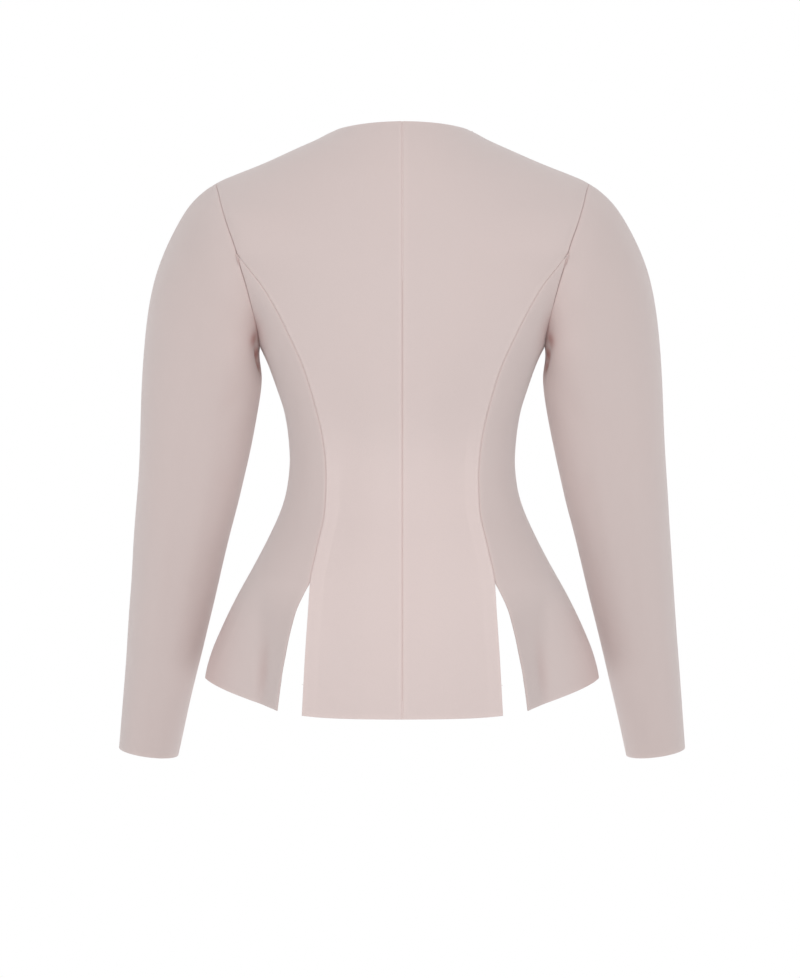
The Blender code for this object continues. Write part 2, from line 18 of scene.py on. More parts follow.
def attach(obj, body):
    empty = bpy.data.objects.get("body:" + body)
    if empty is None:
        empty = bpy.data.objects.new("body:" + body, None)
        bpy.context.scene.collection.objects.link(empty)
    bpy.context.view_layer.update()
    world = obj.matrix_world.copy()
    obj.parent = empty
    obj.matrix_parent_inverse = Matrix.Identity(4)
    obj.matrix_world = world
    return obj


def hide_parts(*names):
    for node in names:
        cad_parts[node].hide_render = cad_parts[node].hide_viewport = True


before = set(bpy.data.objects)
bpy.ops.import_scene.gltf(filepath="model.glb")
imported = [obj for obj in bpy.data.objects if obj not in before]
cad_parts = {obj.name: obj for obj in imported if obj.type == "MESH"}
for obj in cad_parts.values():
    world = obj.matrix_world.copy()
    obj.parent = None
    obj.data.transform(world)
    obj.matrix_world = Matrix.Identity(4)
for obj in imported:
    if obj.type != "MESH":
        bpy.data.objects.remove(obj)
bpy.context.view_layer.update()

MM = 0.001
BODY = "root"
SHADER = "Principled BSDF"
WHITE = (1, 1, 1, 1)
Colour = tuple[float, float, float, float]
Fed = dict[str | int, object]

# The cloth and its seams
CLOTH = 1.3
LEAST_WALL = 0.35
SEAM_GAP = 0.1
TURN_STEP = 1.0
# The fold depth at which the fold's painted shade is full
DEEP_FOLD = 5.0
ARMHOLE_HOLD = 6.0
# How far the painted highlight reaches from an edge
HIGHLIGHT_PAINT_REACH = 3.5
# How far the painted shade reaches from a seam, and how strong it is under the arm
SEAM_SHADE_PAINT_REACH = 0.9
UNDERARM_SHADE_PAINT_REACH = 4.5
UNDERARM_SHADE_PAINT = 0.85
UNDERARM_TOP = -150.0
UNDERARM_SPAN = 60.0
# Where the painted shade under the arm starts, and how far down it grows
UNDERARM_SHADE_PAINT_TOP = -192.0
UNDERARM_SHADE_PAINT_SPAN = 30.0

# The jacket's own heights and depths
NECK_HEIGHT = 0.0
SHOULDER_HEIGHT = -55.0
UNDERARM_HEIGHT = -226.0
BICEP_HEIGHT = -267.0
BACK_SLIT_TOP = -471.0
HEM_HEIGHT = -606.0
CUFF_HEIGHT = -657.0
SHOULDER_SEAM_DEPTH = -4.0
SHOULDER_POINT = (196, -4, -55)
UNDERARM_POINT = (150, -6, -226)

# Where the princess seams start, as steps of the armhole's length from the shoulder
ARMHOLE_STEPS = 13
BACK_TIP_STEP = 6
FRONT_TIP_STEP = 7

# How finely curves and panels are drawn, with steps in from an edge and from a hem
TABLE_SAMPLES = 1201
EASE_WIDTHS = 3
ARMHOLE_SAMPLES = 60
ARMHOLE_SKIP = 8
CURVE_SAMPLES = 241
EDGE_STEPS = (0.0, 0.35, 0.8, 1.4, 2.1, 3.0, 4.4, 6.5, 9.0, 11.6, 12.8, 15.5)
HEM_STEPS = (0.0, 0.35, 0.8, 1.4, 2.1, 3.2, 5.5, 9.5, 14.0, 19.0, 24.0, 28.5, 31.4, 32.8, 36.0)
SHOULDER_ROWS_END = -72.0
SHOULDER_ROW_STEP = 2.2
ROW_STEP = 4.4
SHARP_ANGLE = 48.0


class Slot(Enum):
    """The record's finishes."""

    CREPE = "blush_crepe"
    BUTTON = "button_crepe"


class Side(Enum):
    """The wearer's left or right, with the sign of X there."""

    LEFT = 1
    RIGHT = -1

    @property
    def word(self) -> str:
        """The side's word in piece names."""
        return self.name.lower()


def smooth_step(share: np.ndarray) -> np.ndarray:
    """Rises smoothly from 0 to 1 while share does."""
    within = np.clip(share, 0.0, 1.0)
    return within * within * (3 - 2 * within)


@dataclass
class Table:
    """Rows of values by one leading column, read on a curve that never overshoots its rows.

    The curve is eased over a short stretch, so that no row shows as a band on the cloth.
    """

    columns: tuple[str, ...]
    rows: list[tuple[float, ...]]
    ease: float = 5.0

    def __post_init__(self) -> None:
        """Samples and eases each column's curve."""
        values = np.array(sorted(self.rows), float)
        key = values[:, 0]
        self.keys = np.linspace(key[0], key[-1], TABLE_SAMPLES)
        step = self.keys[1] - self.keys[0]
        self.curves = {
            name: self.eased(self.monotone(key, column), self.ease / step)
            for name, column in zip(self.columns[1:], values[:, 1:].T)
        }

    def monotone(self, key: np.ndarray, column: np.ndarray) -> np.ndarray:
        """The column's curve at each sample, level at its peaks and dips.

        Args:
            key: The rows' leading values.
            column: The rows' values in one column.

        Returns:
            The column's value at each sample.
        """
        step = np.diff(key)
        rise = np.diff(column) / step
        slopes = np.zeros(len(column))
        slopes[0], slopes[-1] = rise[0], rise[-1]
        for i in range(1, len(column) - 1):
            before, after = rise[i - 1], rise[i]
            if before * after > 0:
                near, far = 2 * step[i] + step[i - 1], step[i] + 2 * step[i - 1]
                slopes[i] = (near + far) / (near / before + far / after)
        i = np.clip(np.searchsorted(key, self.keys) - 1, 0, len(key) - 2)
        t = (self.keys - key[i]) / step[i]
        low = (1 + 2 * t) * (1 - t) ** 2 * column[i] + t * (1 - t) ** 2 * slopes[i] * step[i]
        return low + t * t * (3 - 2 * t) * column[i + 1] + t * t * (t - 1) * slopes[i + 1] * step[i]

    @staticmethod
    def eased(curve: np.ndarray, reach: float) -> np.ndarray:
        """The curve evened out over this many samples, with its ends kept.

        Args:
            curve: The values at each sample.
            reach: How many samples the evening reaches over.

        Returns:
            The eased values.
        """
        half = int(EASE_WIDTHS * reach) + 1
        weights = np.exp(-0.5 * (np.arange(-half, half + 1) / reach) ** 2)
        before = 2 * curve[0] - curve[half:0:-1]
        after = 2 * curve[-1] - curve[-2 : -half - 2 : -1]
        return np.convolve(np.concatenate([before, curve, after]), weights / weights.sum(), "valid")

    def at(self, key: np.ndarray, column: str) -> np.ndarray:
        """The named column's values where the leading column is key."""
        return np.interp(key, self.keys, self.curves[column])


BACK_CENTRE = Table(
    ("height", "depth"),
    [
        (0, 58), (-4, 61), (-8, 63.5), (-16, 68), (-28, 75), (-41, 80.5), (-55, 85.5), (-81, 91.5),
        (-103, 96), (-125, 100), (-148, 102.5), (-167, 103), (-197, 101.5), (-224, 98.5), (-254, 94.5),
        (-285, 90), (-324, 86), (-348, 85), (-363, 86), (-395, 91), (-435, 103), (-471, 113),
        (-500, 119), (-550, 126), (-606, 132),
    ],
)
FRONT_CENTRE = Table(
    ("height", "depth"),
    [
        (0, 30), (-28, 52), (-55, 66), (-81, 78), (-110, 89.5), (-150, 104), (-180, 114), (-207, 120.5),
        (-230, 123), (-250, 121.5), (-270, 117.5), (-292, 111), (-320, 102.5), (-348, 97.5),
        (-378, 98.5), (-420, 105), (-455, 112), (-492, 117), (-545, 122), (-606, 126),
    ],
)
SHOULDER_SEAM = Table(
    ("height", "half_width"),
    [
        (0, 71), (-3.5, 79), (-7.5, 86), (-11.7, 94.5), (-16, 104.5), (-20, 113.4), (-28.5, 132.5),
        (-37, 152), (-45, 173), (-55, 196),
    ],
    ease=1.5,
)
SIDE_SEAM = Table(
    ("height", "half_width", "depth"),
    [
        (-226, 150, -6), (-235, 145.4, -6), (-251, 138.6, -6), (-267, 132.8, -6), (-298, 123, -5),
        (-330, 118.6, -4), (-347, 117.7, -4), (-361, 118.7, -4), (-377, 121, -4), (-393, 125.5, -3),
        (-424, 139, -2), (-456, 155.4, -1), (-487, 172.7, 0), (-519, 188.5, 1), (-550, 201, 2),
        (-574.5, 206.5, 3), (-606, 208, 3),
    ],
)

BACK_ARMHOLE = [
    (192, 18, -66), (188, 33, -81), (181, 48, -103), (173, 57, -125), (167, 60, -146), (161, 57, -166),
    (156, 49, -186), (151.5, 33, -206), (149.5, 12, -221),
]
FRONT_ARMHOLE = [
    (191.5, -22, -66), (187, -37, -81), (181, -49, -99), (173, -59, -119), (165, -64, -140),
    (158, -62, -162), (153, -53, -185), (151, -39, -205), (149.5, -22, -221),
]

BACK_PRINCESS_ROWS = [
    (-148, 159.6, 66), (-167, 144.7, 74), (-197, 127, 80.5), (-224, 113.7, 82), (-254, 100.5, 81),
    (-285, 91, 78.5), (-324, 81.8, 75.5), (-348, 79, 74), (-363, 78.3, 74.5), (-395, 79.2, 80),
    (-435, 87, 91), (-471, 94.2, 100), (-500, 96, 104.5), (-544, 98.9, 108.5), (-606, 102.2, 112),
]
FRONT_PRINCESS_ROWS = [
    (-160, 151, 70.5), (-175, 135, 85.5), (-192, 118.5, 98.5), (-212, 102, 107.5), (-232, 91, 112),
    (-252, 86, 111), (-270, 83.5, 107), (-292, 81.5, 100.5), (-320, 79.5, 92), (-348, 78.5, 87),
    (-378, 80, 88.5), (-420, 85, 94.5), (-455, 91, 101), (-492, 97, 105.5), (-545, 100, 110),
    (-606, 103, 114),
]

FULLNESS = Table(
    ("height", "share"),
    [
        (0, 0.85), (-16, 0.7), (-35, 0.6), (-60, 0.6), (-85, 0.72), (-115, 0.88), (-147, 1.0),
        (-606, 1.0),
    ],
)
BACK_TURN = Table(
    ("height", "centre_edge", "side_edge"),
    [
        (0, 90, 90), (-55, 90, 90), (-58, 81, 81), (-66, 67, 67), (-81, 56, 56), (-103, 48, 48),
        (-125, 43, 45), (-137, 40, 45), (-150, 36, 50), (-167, 32, 58), (-186, 29, 68), (-206, 27, 80),
        (-226, 26, 90), (-285, 24, 90), (-348, 25, 90), (-395, 24, 90), (-435, 20, 90), (-471, 18, 90),
        (-606, 20, 90),
    ],
    ease=2.5,
)
FRONT_TURN = Table(
    ("height", "centre_edge", "side_edge"),
    [
        (0, 90, 90), (-55, 90, 90), (-58, 81, 81), (-66, 67, 67), (-81, 58, 58), (-99, 52, 52),
        (-119, 48, 49), (-147, 44, 50), (-162, 40, 58), (-185, 35, 70), (-205, 32, 80), (-226, 30, 90),
        (-262, 28, 90), (-350, 26, 90), (-420, 24, 90), (-455, 21, 90), (-545, 18, 90), (-606, 18, 90),
    ],
    ease=2.5,
)
BACK_WING = Table(
    ("height", "slit_out", "slit_depth", "turn"),
    [
        (-471, 94.2, 100, 18), (-484, 101, 99.5, 24), (-499, 108, 98, 33), (-514, 112.5, 96.5, 41),
        (-530, 116.6, 95, 48), (-545, 119.6, 93.5, 53), (-560, 122.7, 92.3, 57), (-580, 125.8, 91, 60),
        (-606, 129.2, 90, 62),
    ],
    ease=3.0,
)
FRONT_WING = Table(
    ("height", "slit_out", "slit_depth", "turn"),
    [
        (-455, 91, 101, 21), (-473, 100, 102, 30), (-492, 109.5, 102, 38), (-513, 118.5, 101, 47),
        (-530, 125, 99.5, 53), (-545, 130.5, 98, 57), (-570, 136.5, 96, 62), (-606, 142, 94, 65),
    ],
    ease=3.0,
)
SIDE_REACH = Table(
    ("height", "at_princess", "at_side"),
    [
        (-136, 0.35, 0.35), (-186, 0.34, 0.37), (-235, 0.30, 0.41), (-350, 0.30, 0.42),
        (-424, 0.34, 0.40), (-463, 0.36, 0.37), (-500, 0.33, 0.30), (-545, 0.30, 0.22),
        (-606, 0.30, 0.16),
    ],
)
FRONT_EDGE = Table(
    ("height", "out"),
    [
        (0, 71), (-20, 65.5), (-40, 57), (-80, 38.5), (-120, 17.5), (-150, 0), (-175, -13.5),
        (-187, -18), (-606, -18),
    ],
    ease=3.0,
)
SLEEVE_RINGS = Table(
    ("height", "inner_side", "outer_side", "centre_depth", "half_depth"),
    [
        (-267, 147, 273, -6, 60), (-300, 153.6, 274.5, -8, 58.5), (-345, 164, 276.5, -13, 56.5),
        (-377, 172, 279, -18, 55), (-410, 181, 282, -24, 53.5), (-440, 188.5, 284.5, -30, 52),
        (-480, 198, 287.5, -37.5, 50), (-520, 208, 291, -44.5, 48), (-560, 218, 294.5, -50, 46),
        (-600, 227.5, 298, -53.5, 44.5), (-657, 240, 302.5, -56, 43),
    ],
)
SLEEVE_CAP = Table(
    ("share_round", "out", "back", "down", "rise_reach", "drop_reach"),
    [
        (0.0, 0.79, 0.0, -0.62, 70, 95), (0.15, 0.78, 0.10, -0.62, 66, 84),
        (0.3, 0.77, 0.18, -0.61, 58, 66), (0.5, 0.74, 0.20, -0.64, 44, 42),
        (0.65, 0.62, 0.14, -0.77, 30, 30), (0.8, 0.42, 0.06, -0.91, 20, 22),
        (0.92, 0.24, 0.02, -0.97, 14, 16), (1.0, 0.18, 0.0, -0.98, 12, 14),
    ],
    ease=0.02,
)
# Painted light: how much lighter the cloth's colour is painted at each height below the waist
PAINTED_WAIST_LIGHT = Table(
    ("height", "rise"),
    [
        (0, 0), (-290, 0), (-366, 0.08), (-450, 0.1), (-513, 0.087), (-606, 0.05),
    ],
    ease=12.0,
)


def bezier(controls: np.ndarray, share: np.ndarray) -> np.ndarray:
    """Points of curves.

    Args:
        controls: The four control points of each curve, next to last in the array's axes.
        share: How far along each curve the point lies.

    Returns:
        One point for each share.
    """
    s, t = 1 - share[..., None], share[..., None]
    a, b, c, d = (controls[..., i, :] for i in range(4))
    return s**3 * a + 3 * s * s * t * b + 3 * s * t * t * c + t**3 * d


def runs(points: np.ndarray, axis: int) -> np.ndarray:
    """How far each point of a grid lies from the grid's first point along that axis, over the surface."""
    steps = np.linalg.norm(np.diff(points, axis=axis), axis=2)
    return np.concatenate([np.zeros_like(steps.take([0], axis)), np.cumsum(steps, axis=axis)], axis=axis)


def spread(length: float, first: tuple[float, ...], last: tuple[float, ...], middle: int) -> np.ndarray:
    """Places along a line, close together at its ends.

    Args:
        length: The line's length.
        first: The places wanted at its start, which are drawn together on a short line.
        last: The same from its end, or nothing.
        middle: How many equal steps lie between.

    Returns:
        The places in order, from 0 to the length.
    """
    wanted = first[-1] + (last[-1] if last else 0.0) + middle
    squeeze = min(1.0, length / wanted)
    start = np.array(first) * squeeze
    end = length - np.array(last[::-1]) * squeeze if last else np.array([])
    stop = end[0] if last else length
    between = np.linspace(start[-1], stop, middle + 1)[1:]
    return np.concatenate([start, between, end[1:]])


def levels(
    top: float, bottom: float, top_steps: tuple[float, ...], bottom_steps: tuple[float, ...]
) -> np.ndarray:
    """The heights of a panel's rows, closer at its top edge, over the shoulder and at its hem.

    Args:
        top: The height of the top edge.
        bottom: The height of the hem.
        top_steps: How far below the top edge its close rows lie.
        bottom_steps: How far above the hem its close rows lie.

    Returns:
        The heights from the top down.
    """
    rows = [top - step for step in top_steps]
    if rows[-1] > SHOULDER_HEIGHT:
        count = round((rows[-1] - SHOULDER_HEIGHT) / SHOULDER_ROW_STEP)
        rows += list(np.linspace(rows[-1], SHOULDER_HEIGHT, count + 1)[1:])
    while rows[-1] > SHOULDER_ROWS_END:
        rows.append(rows[-1] - SHOULDER_ROW_STEP)
    last = bottom + bottom_steps[-1]
    count = max(int((rows[-1] - last) / ROW_STEP), 1)
    rows += list(np.linspace(rows[-1], last, count + 1)[1:])
    return np.array(rows + [bottom + step for step in reversed(bottom_steps[:-1])])


@dataclass
class ArmholeHalf:
    """The back or the front half of the armhole seam, from the shoulder point to the underarm."""

    points: list[tuple[float, ...]]
    other: list[tuple[float, ...]]

    def __post_init__(self) -> None:
        """Draws the seam as part of one smooth loop round both halves."""
        loop = [self.other[0], SHOULDER_POINT, *self.points, UNDERARM_POINT, self.other[-1]]
        knots = [np.array(point, float) for point in loop]
        dense = []
        for before, start, end, after in zip(knots, knots[1:], knots[2:], knots[3:]):
            span = np.linalg.norm(end - start)
            leave = (end - before) * span / (span + np.linalg.norm(start - before))
            arrive = (after - start) * span / (span + np.linalg.norm(after - end))
            for t in np.linspace(0, 1, ARMHOLE_SAMPLES, endpoint=False):
                eased = (1 + 2 * t) * (1 - t) ** 2 * start + t * (1 - t) ** 2 * leave
                dense.append(eased + t * t * (3 - 2 * t) * end + t * t * (t - 1) * arrive)
        self.dense = np.array([*dense, knots[-2]])
        self.along = runs(self.dense[:, None], 0)[:, 0]

    def at_share(self, share: np.ndarray) -> np.ndarray:
        """The seam's points at these shares of its length, from the shoulder."""
        place = np.asarray(share) * self.along[-1]
        return np.stack([np.interp(place, self.along, axis) for axis in self.dense.T], -1)

    def at_height(self, height: np.ndarray) -> np.ndarray:
        """How far out and how deep the seam lies at these heights."""
        down = -self.dense[:, 2]
        return np.stack([np.interp(-height, down, axis) for axis in self.dense.T[:2]], -1)


@dataclass
class BodySide:
    """The back or the front of the body on the wearer's left, with depth measured away from the middle."""

    facing: int
    centre: Table
    turn: Table
    armhole: ArmholeHalf
    tip_step: int
    princess_rows: list[tuple[float, ...]]
    wing: Table

    def __post_init__(self) -> None:
        """Starts the princess seam at its tip on the armhole."""
        self.tip = self.armhole.at_share(self.tip_step / ARMHOLE_STEPS)
        tip_row = (self.tip[2], self.tip[0], self.tip[1] * self.facing)
        self.princess = Table(("height", "out", "depth"), [tip_row, *self.princess_rows], ease=3.0)
        self.slit_top = self.wing.keys[-1]

    def armhole_edge(self, height: np.ndarray) -> np.ndarray:
        """Where the armhole seam lies at these heights."""
        return self.armhole.at_height(height) * np.array([1, self.facing])

    def princess_edge(self, height: np.ndarray) -> np.ndarray:
        """Where the princess seam lies at these heights."""
        return np.stack([self.princess.at(height, "out"), self.princess.at(height, "depth")], -1)

    def centre_edge(self, height: np.ndarray) -> np.ndarray:
        """The centre panel's outer edge: the shoulder seam, then the armhole, then the princess seam.

        Args:
            height: The heights of the rows.

        Returns:
            How far out and how deep the edge lies at each height.
        """
        half_width = SHOULDER_SEAM.at(height, "half_width")
        shoulder = np.stack([half_width, np.full_like(half_width, SHOULDER_SEAM_DEPTH * self.facing)], -1)
        above_tip = (height >= self.tip[2])[..., None]
        lower = np.where(above_tip, self.armhole_edge(height), self.princess_edge(height))
        return np.where((height >= SHOULDER_HEIGHT)[..., None], shoulder, lower)

    def centre_section(self, height: np.ndarray) -> np.ndarray:
        """The control points of the level curves from the centre line to the centre panel's outer edge.

        Args:
            height: The heights of the rows.

        Returns:
            Four points for each height, each with how far out and how deep it lies.
        """
        depth = self.centre.at(height, "depth")
        start = np.stack([np.zeros_like(depth), depth], -1)
        end = self.centre_edge(height)
        turn = np.radians(self.turn.at(height, "centre_edge"))
        fall = (start - end)[..., 1] / np.sin(turn)
        run = (end - start)[..., 0] - fall * np.cos(turn)
        share = 4 / 3 * np.tan(turn / 4) / np.tan(turn / 2) * FULLNESS.at(height, "share")
        leave = start + np.stack([run * share, np.zeros_like(run)], -1)
        arrive = end - np.stack([np.cos(turn), -np.sin(turn)], -1) * (fall * share)[..., None]
        return np.stack([start, leave, arrive, end], -2)

    def side_section(self, height: np.ndarray) -> np.ndarray:
        """The control points of the level curves from the princess seam, or the slit, to the side.

        Args:
            height: The heights of the rows.

        Returns:
            Four points for each height, each with how far out and how deep it lies.
        """
        slit = np.stack([self.wing.at(height, "slit_out"), self.wing.at(height, "slit_depth")], -1)
        is_sewn = height >= self.slit_top
        start = np.where(is_sewn[..., None], self.princess_edge(height), slit)
        start_turn = np.where(is_sewn, self.turn.at(height, "centre_edge"), self.wing.at(height, "turn"))
        side = np.stack([SIDE_SEAM.at(height, "half_width"), SIDE_SEAM.at(height, "depth") * self.facing], -1)
        end = np.where((height >= UNDERARM_HEIGHT)[..., None], self.armhole_edge(height), side)
        turns = np.radians(np.stack([start_turn, self.turn.at(height, "side_edge")], -1))
        headings = np.stack([np.cos(turns), -np.sin(turns)], -1)
        chord = np.linalg.norm(end - start, axis=-1)[..., None]
        leave = start + headings[..., 0, :] * chord * SIDE_REACH.at(height, "at_princess")[..., None]
        arrive = end - headings[..., 1, :] * chord * SIDE_REACH.at(height, "at_side")[..., None]
        return np.stack([start, leave, arrive, end], -2)

    def point(self, section: np.ndarray, height: np.ndarray, share: np.ndarray) -> np.ndarray:
        """The surface's points on these sections. A share below 0 lies past the centre line."""
        flat = bezier(section, np.abs(share))
        return np.stack([np.copysign(flat[..., 0], share), flat[..., 1] * self.facing, height], -1)


BACK_LOOP = ArmholeHalf(BACK_ARMHOLE, FRONT_ARMHOLE)
FRONT_LOOP = ArmholeHalf(FRONT_ARMHOLE, BACK_ARMHOLE)
BACK = BodySide(1, BACK_CENTRE, BACK_TURN, BACK_LOOP, BACK_TIP_STEP, BACK_PRINCESS_ROWS, BACK_WING)
FRONT = BodySide(-1, FRONT_CENTRE, FRONT_TURN, FRONT_LOOP, FRONT_TIP_STEP, FRONT_PRINCESS_ROWS, FRONT_WING)


@dataclass(frozen=True)
class EdgeFinish:
    """How a panel's cloth ends at one edge: sewn to its neighbour, or folded under."""

    dip: float = 0.0
    dip_reach: float = 1.0
    ridge: float = 0.0
    turned: float = 0.8
    turned_width: float = 12.0
    # How strongly the seam's painted shade deepens the colour beside it
    blush: float = 0.0
    is_folded: bool = False

    def sunk(self, distance: np.ndarray) -> np.ndarray:
        """How far the outside lies inside its own surface, this far from the edge.

        Args:
            distance: How far from the edge each point lies.

        Returns:
            The depth of the groove or of the fold's round.
        """
        if self.is_folded:
            return self.rounding(distance)
        return self.dip * (1 - smooth_step(distance / self.dip_reach))

    def raised(self, distance: np.ndarray) -> np.ndarray:
        """The height of the soft ridge that the ironed allowance gives."""
        return self.ridge * np.exp(-(((distance - 2 * self.dip_reach) / self.dip_reach) ** 2))

    def doubled(self, distance: np.ndarray) -> np.ndarray:
        """The thickness that the allowance or the turned hem adds inside."""
        return self.turned * (1 - smooth_step((distance - self.turned_width) / TURN_STEP))

    def rounding(self, distance: np.ndarray) -> np.ndarray:
        """How far a folded edge's round draws each face in.

        Args:
            distance: How far from the edge each point lies.

        Returns:
            How far the face is drawn in there.
        """
        radius = (CLOTH + self.turned) / 2
        left = np.clip(radius - distance, 0, radius)
        return radius - np.sqrt(radius * radius - left * left)


PLAIN_SEAM = EdgeFinish(dip=0.9, dip_reach=1.35, ridge=0.2, blush=0.1)
SHOULDER_SEAM_FINISH = EdgeFinish(dip=0.6, dip_reach=1.4, ridge=0.12, blush=0.1)
ARMHOLE_SEAM = EdgeFinish(dip=0.27, dip_reach=1.0, ridge=0.12, turned=0.7, turned_width=11.0, blush=0.2)
NECK_FOLD = EdgeFinish(is_folded=True, turned_width=12.0)
FRONT_FOLD = EdgeFinish(is_folded=True, turned_width=32.0)
SLIT_FOLD = EdgeFinish(is_folded=True, turned_width=12.0)
HEM_FOLD = EdgeFinish(is_folded=True, turned=0.9, turned_width=32.0)


@dataclass
class PanelEdge:
    """One edge of a panel: its finish, how far each grid point lies from it, and where along it that holds.

    An armhole seam needs no groove of its own under the arm, where its two sides meet in a fold and the cloth
    is painted deeper in colour, as painted shade.
    """

    finish: EdgeFinish
    distance: np.ndarray
    weight: np.ndarray | float = 1.0
    underarm: np.ndarray | float = 0.0
    underarm_shade_paint: np.ndarray | float = 0.0

    def grooved(self) -> np.ndarray:
        """How far the outside lies inside its own surface."""
        return self.finish.sunk(self.distance) * self.weight * (1 - self.underarm)

    def raised(self) -> np.ndarray:
        """The height of the ironed allowance's ridge."""
        return self.finish.raised(self.distance) * self.weight * (1 - self.underarm)

    def doubled(self) -> np.ndarray:
        """The thickness added inside."""
        return self.finish.doubled(self.distance) * self.weight

    def rounded(self) -> np.ndarray:
        """How far a folded edge's round draws the inside in."""
        return self.finish.rounding(self.distance) * self.weight * self.finish.is_folded

    def near(self, reach: float | np.ndarray) -> np.ndarray:
        """How near each grid point is to the edge, from 0 to 1."""
        return np.exp(-((self.distance / reach) ** 2)) * self.weight

    def shade_paint(self) -> np.ndarray:
        """How much painted shade deepens the colour beside the edge, from 0 to 1."""
        reach = SEAM_SHADE_PAINT_REACH + (UNDERARM_SHADE_PAINT_REACH - SEAM_SHADE_PAINT_REACH) * self.underarm_shade_paint
        return self.near(reach) * (self.finish.blush + (UNDERARM_SHADE_PAINT - self.finish.blush) * self.underarm_shade_paint)


ARMHOLE_LOOP = np.concatenate([half.armhole.dense[::ARMHOLE_SKIP] for half in (BACK, FRONT)])


def held(points: np.ndarray) -> np.ndarray:
    """How firmly the armhole seam keeps the cloth from folding at these points, from 0 to 1."""
    away = np.linalg.norm(points[..., None, :] - ARMHOLE_LOOP, axis=-1).min(-1)
    return np.exp(-((away / ARMHOLE_HOLD) ** 2))


def armhole_edge(height: np.ndarray, distance: np.ndarray, weight: np.ndarray | float = 1.0) -> PanelEdge:
    """A panel's edge at the armhole, where the seam lies on the body and the sleeve is sewn to it.

    Args:
        height: The seam's own height beside each grid point.
        distance: How far each grid point lies from the seam.
        weight: Where along the panel's edge the armhole is.

    Returns:
        The edge, softer under the arm, with deeper painted shade there.
    """
    underarm = smooth_step((UNDERARM_TOP - height) / UNDERARM_SPAN)
    underarm_shade_paint = smooth_step((UNDERARM_SHADE_PAINT_TOP - height) / UNDERARM_SHADE_PAINT_SPAN)
    return PanelEdge(ARMHOLE_SEAM, distance, weight, underarm, underarm_shade_paint)


@dataclass(frozen=True)
class Fold:
    """A soft trough in the cloth, or a ridge where its depth is negative, drawn on the wearer's left."""

    start: tuple[float, float, float]
    end: tuple[float, float, float]
    half_width: float
    depth: float
    right_share: float = 0.8
    right_drop: float = 0.0

    def at(self, points: np.ndarray, side: Side) -> np.ndarray:
        """How far the fold draws in these points.

        Args:
            points: Points on the wearer's left.
            side: The side that the panel is on, because the two sides fold a little differently.

        Returns:
            A depth for each point, which dies away across and along the fold.
        """
        drop = np.array([0, 0, 0 if side is Side.LEFT else self.right_drop])
        start, end = np.array(self.start) + drop, np.array(self.end) + drop
        line = end - start
        place = ((points - start) @ line) / (line @ line)
        away = np.linalg.norm(points - start - place[..., None] * line, axis=-1)
        depth = self.depth * (1 if side is Side.LEFT else self.right_share)
        return depth * np.exp(-((2 * place - 1) ** 2) - (away / self.half_width) ** 2)


FOLDS = (
    Fold((155, 21, -222), (149, 1, -254), 7.0, 4.4, right_share=0.9, right_drop=-2),
    Fold((156, -34, -220), (150, -20, -252), 7.0, 3.0, right_share=1.1, right_drop=-3),
    Fold((204, -4, -54), (230, -4, -102), 26.0, -2.6, right_share=0.75),
    Fold((230, -4, -100), (264, -4, -320), 34.0, -1.3, right_share=0.85),
    Fold((224, 45, -290), (262, -4, -610), 9.0, 0.7, right_share=0.8, right_drop=-20),
    Fold((250, 28, -330), (282, -20, -600), 8.0, -0.6, right_share=0.9, right_drop=14),
    Fold((196, 44, -320), (236, 2, -560), 8.0, -0.6, right_share=0.7, right_drop=-10),
    Fold((150, 62, -168), (138, 58, -216), 9.0, 1.1, right_share=0.9, right_drop=3),
    Fold((150, -66, -176), (138, -62, -220), 9.0, 1.0, right_share=0.8, right_drop=5),
    Fold((166, 32, -262), (190, 44, -300), 11.0, 1.1, right_share=0.7, right_drop=-8),
    Fold((172, 20, -372), (218, 30, -352), 12.0, 1.0, right_share=0.7, right_drop=-12),
    Fold((182, 14, -412), (236, 22, -396), 10.0, -0.7, right_share=0.8, right_drop=9),
    Fold((174, -62, -356), (236, -72, -338), 12.0, 1.2, right_share=0.8, right_drop=-6),
    Fold((184, -68, -398), (246, -76, -386), 11.0, 0.9, right_share=1.1, right_drop=5),
    Fold((146, 82, -505), (145, 64, -600), 10.0, 2.4, right_share=0.9),
    Fold((162, 46, -484), (199, 22, -570), 5.0, -0.9, right_share=1.0),
    Fold((160, -78, -505), (160, -64, -600), 10.0, 1.6, right_share=0.9),
    Fold((166, -44, -490), (200, -24, -570), 5.5, -0.8, right_share=0.9),
)


@dataclass(frozen=True)
class Patch:
    """A soft patch of painted shade, deeper in colour, or of painted light, drawn on the wearer's left."""

    centre: tuple[float, float, float]
    radius: float
    share: float

    def at(self, points: np.ndarray) -> np.ndarray:
        """How strong the patch is at these points, from 0 to 1."""
        return self.share * np.exp(-(((points - np.array(self.centre)) / self.radius) ** 2).sum(-1))


# Painted shade under the arm, deeper and redder in colour
BODY_PAINTED_SHADES = (
    Patch((155, 34, -213), 20.0, 0.55),
    Patch((154, -36, -212), 20.0, 0.4),
    Patch((147, 8, -234), 24.0, 0.2),
    Patch((147, -20, -234), 20.0, 0.15),
)
SLEEVE_PAINTED_SHADES = (
    Patch((153, 28, -221), 7.5, 0.85),
    Patch((151, 7, -234), 7.5, 1.0),
    Patch((149, 4, -248), 7.0, 0.9),
    Patch((153, -34, -218), 9.5, 0.6),
    Patch((151, -20, -238), 9.0, 0.7),
)
# Painted light beside the underarm
BODY_LIGHTS = (Patch((147, 4, -238), 16.0, 0.14), Patch((147, -18, -238), 16.0, 0.12))
SLEEVE_LIGHTS = (
    Patch((166, 36, -226), 26.0, 0.09),
    Patch((150, -2, -268), 20.0, 0.14),
    Patch((164, -42, -226), 24.0, 0.08),
)

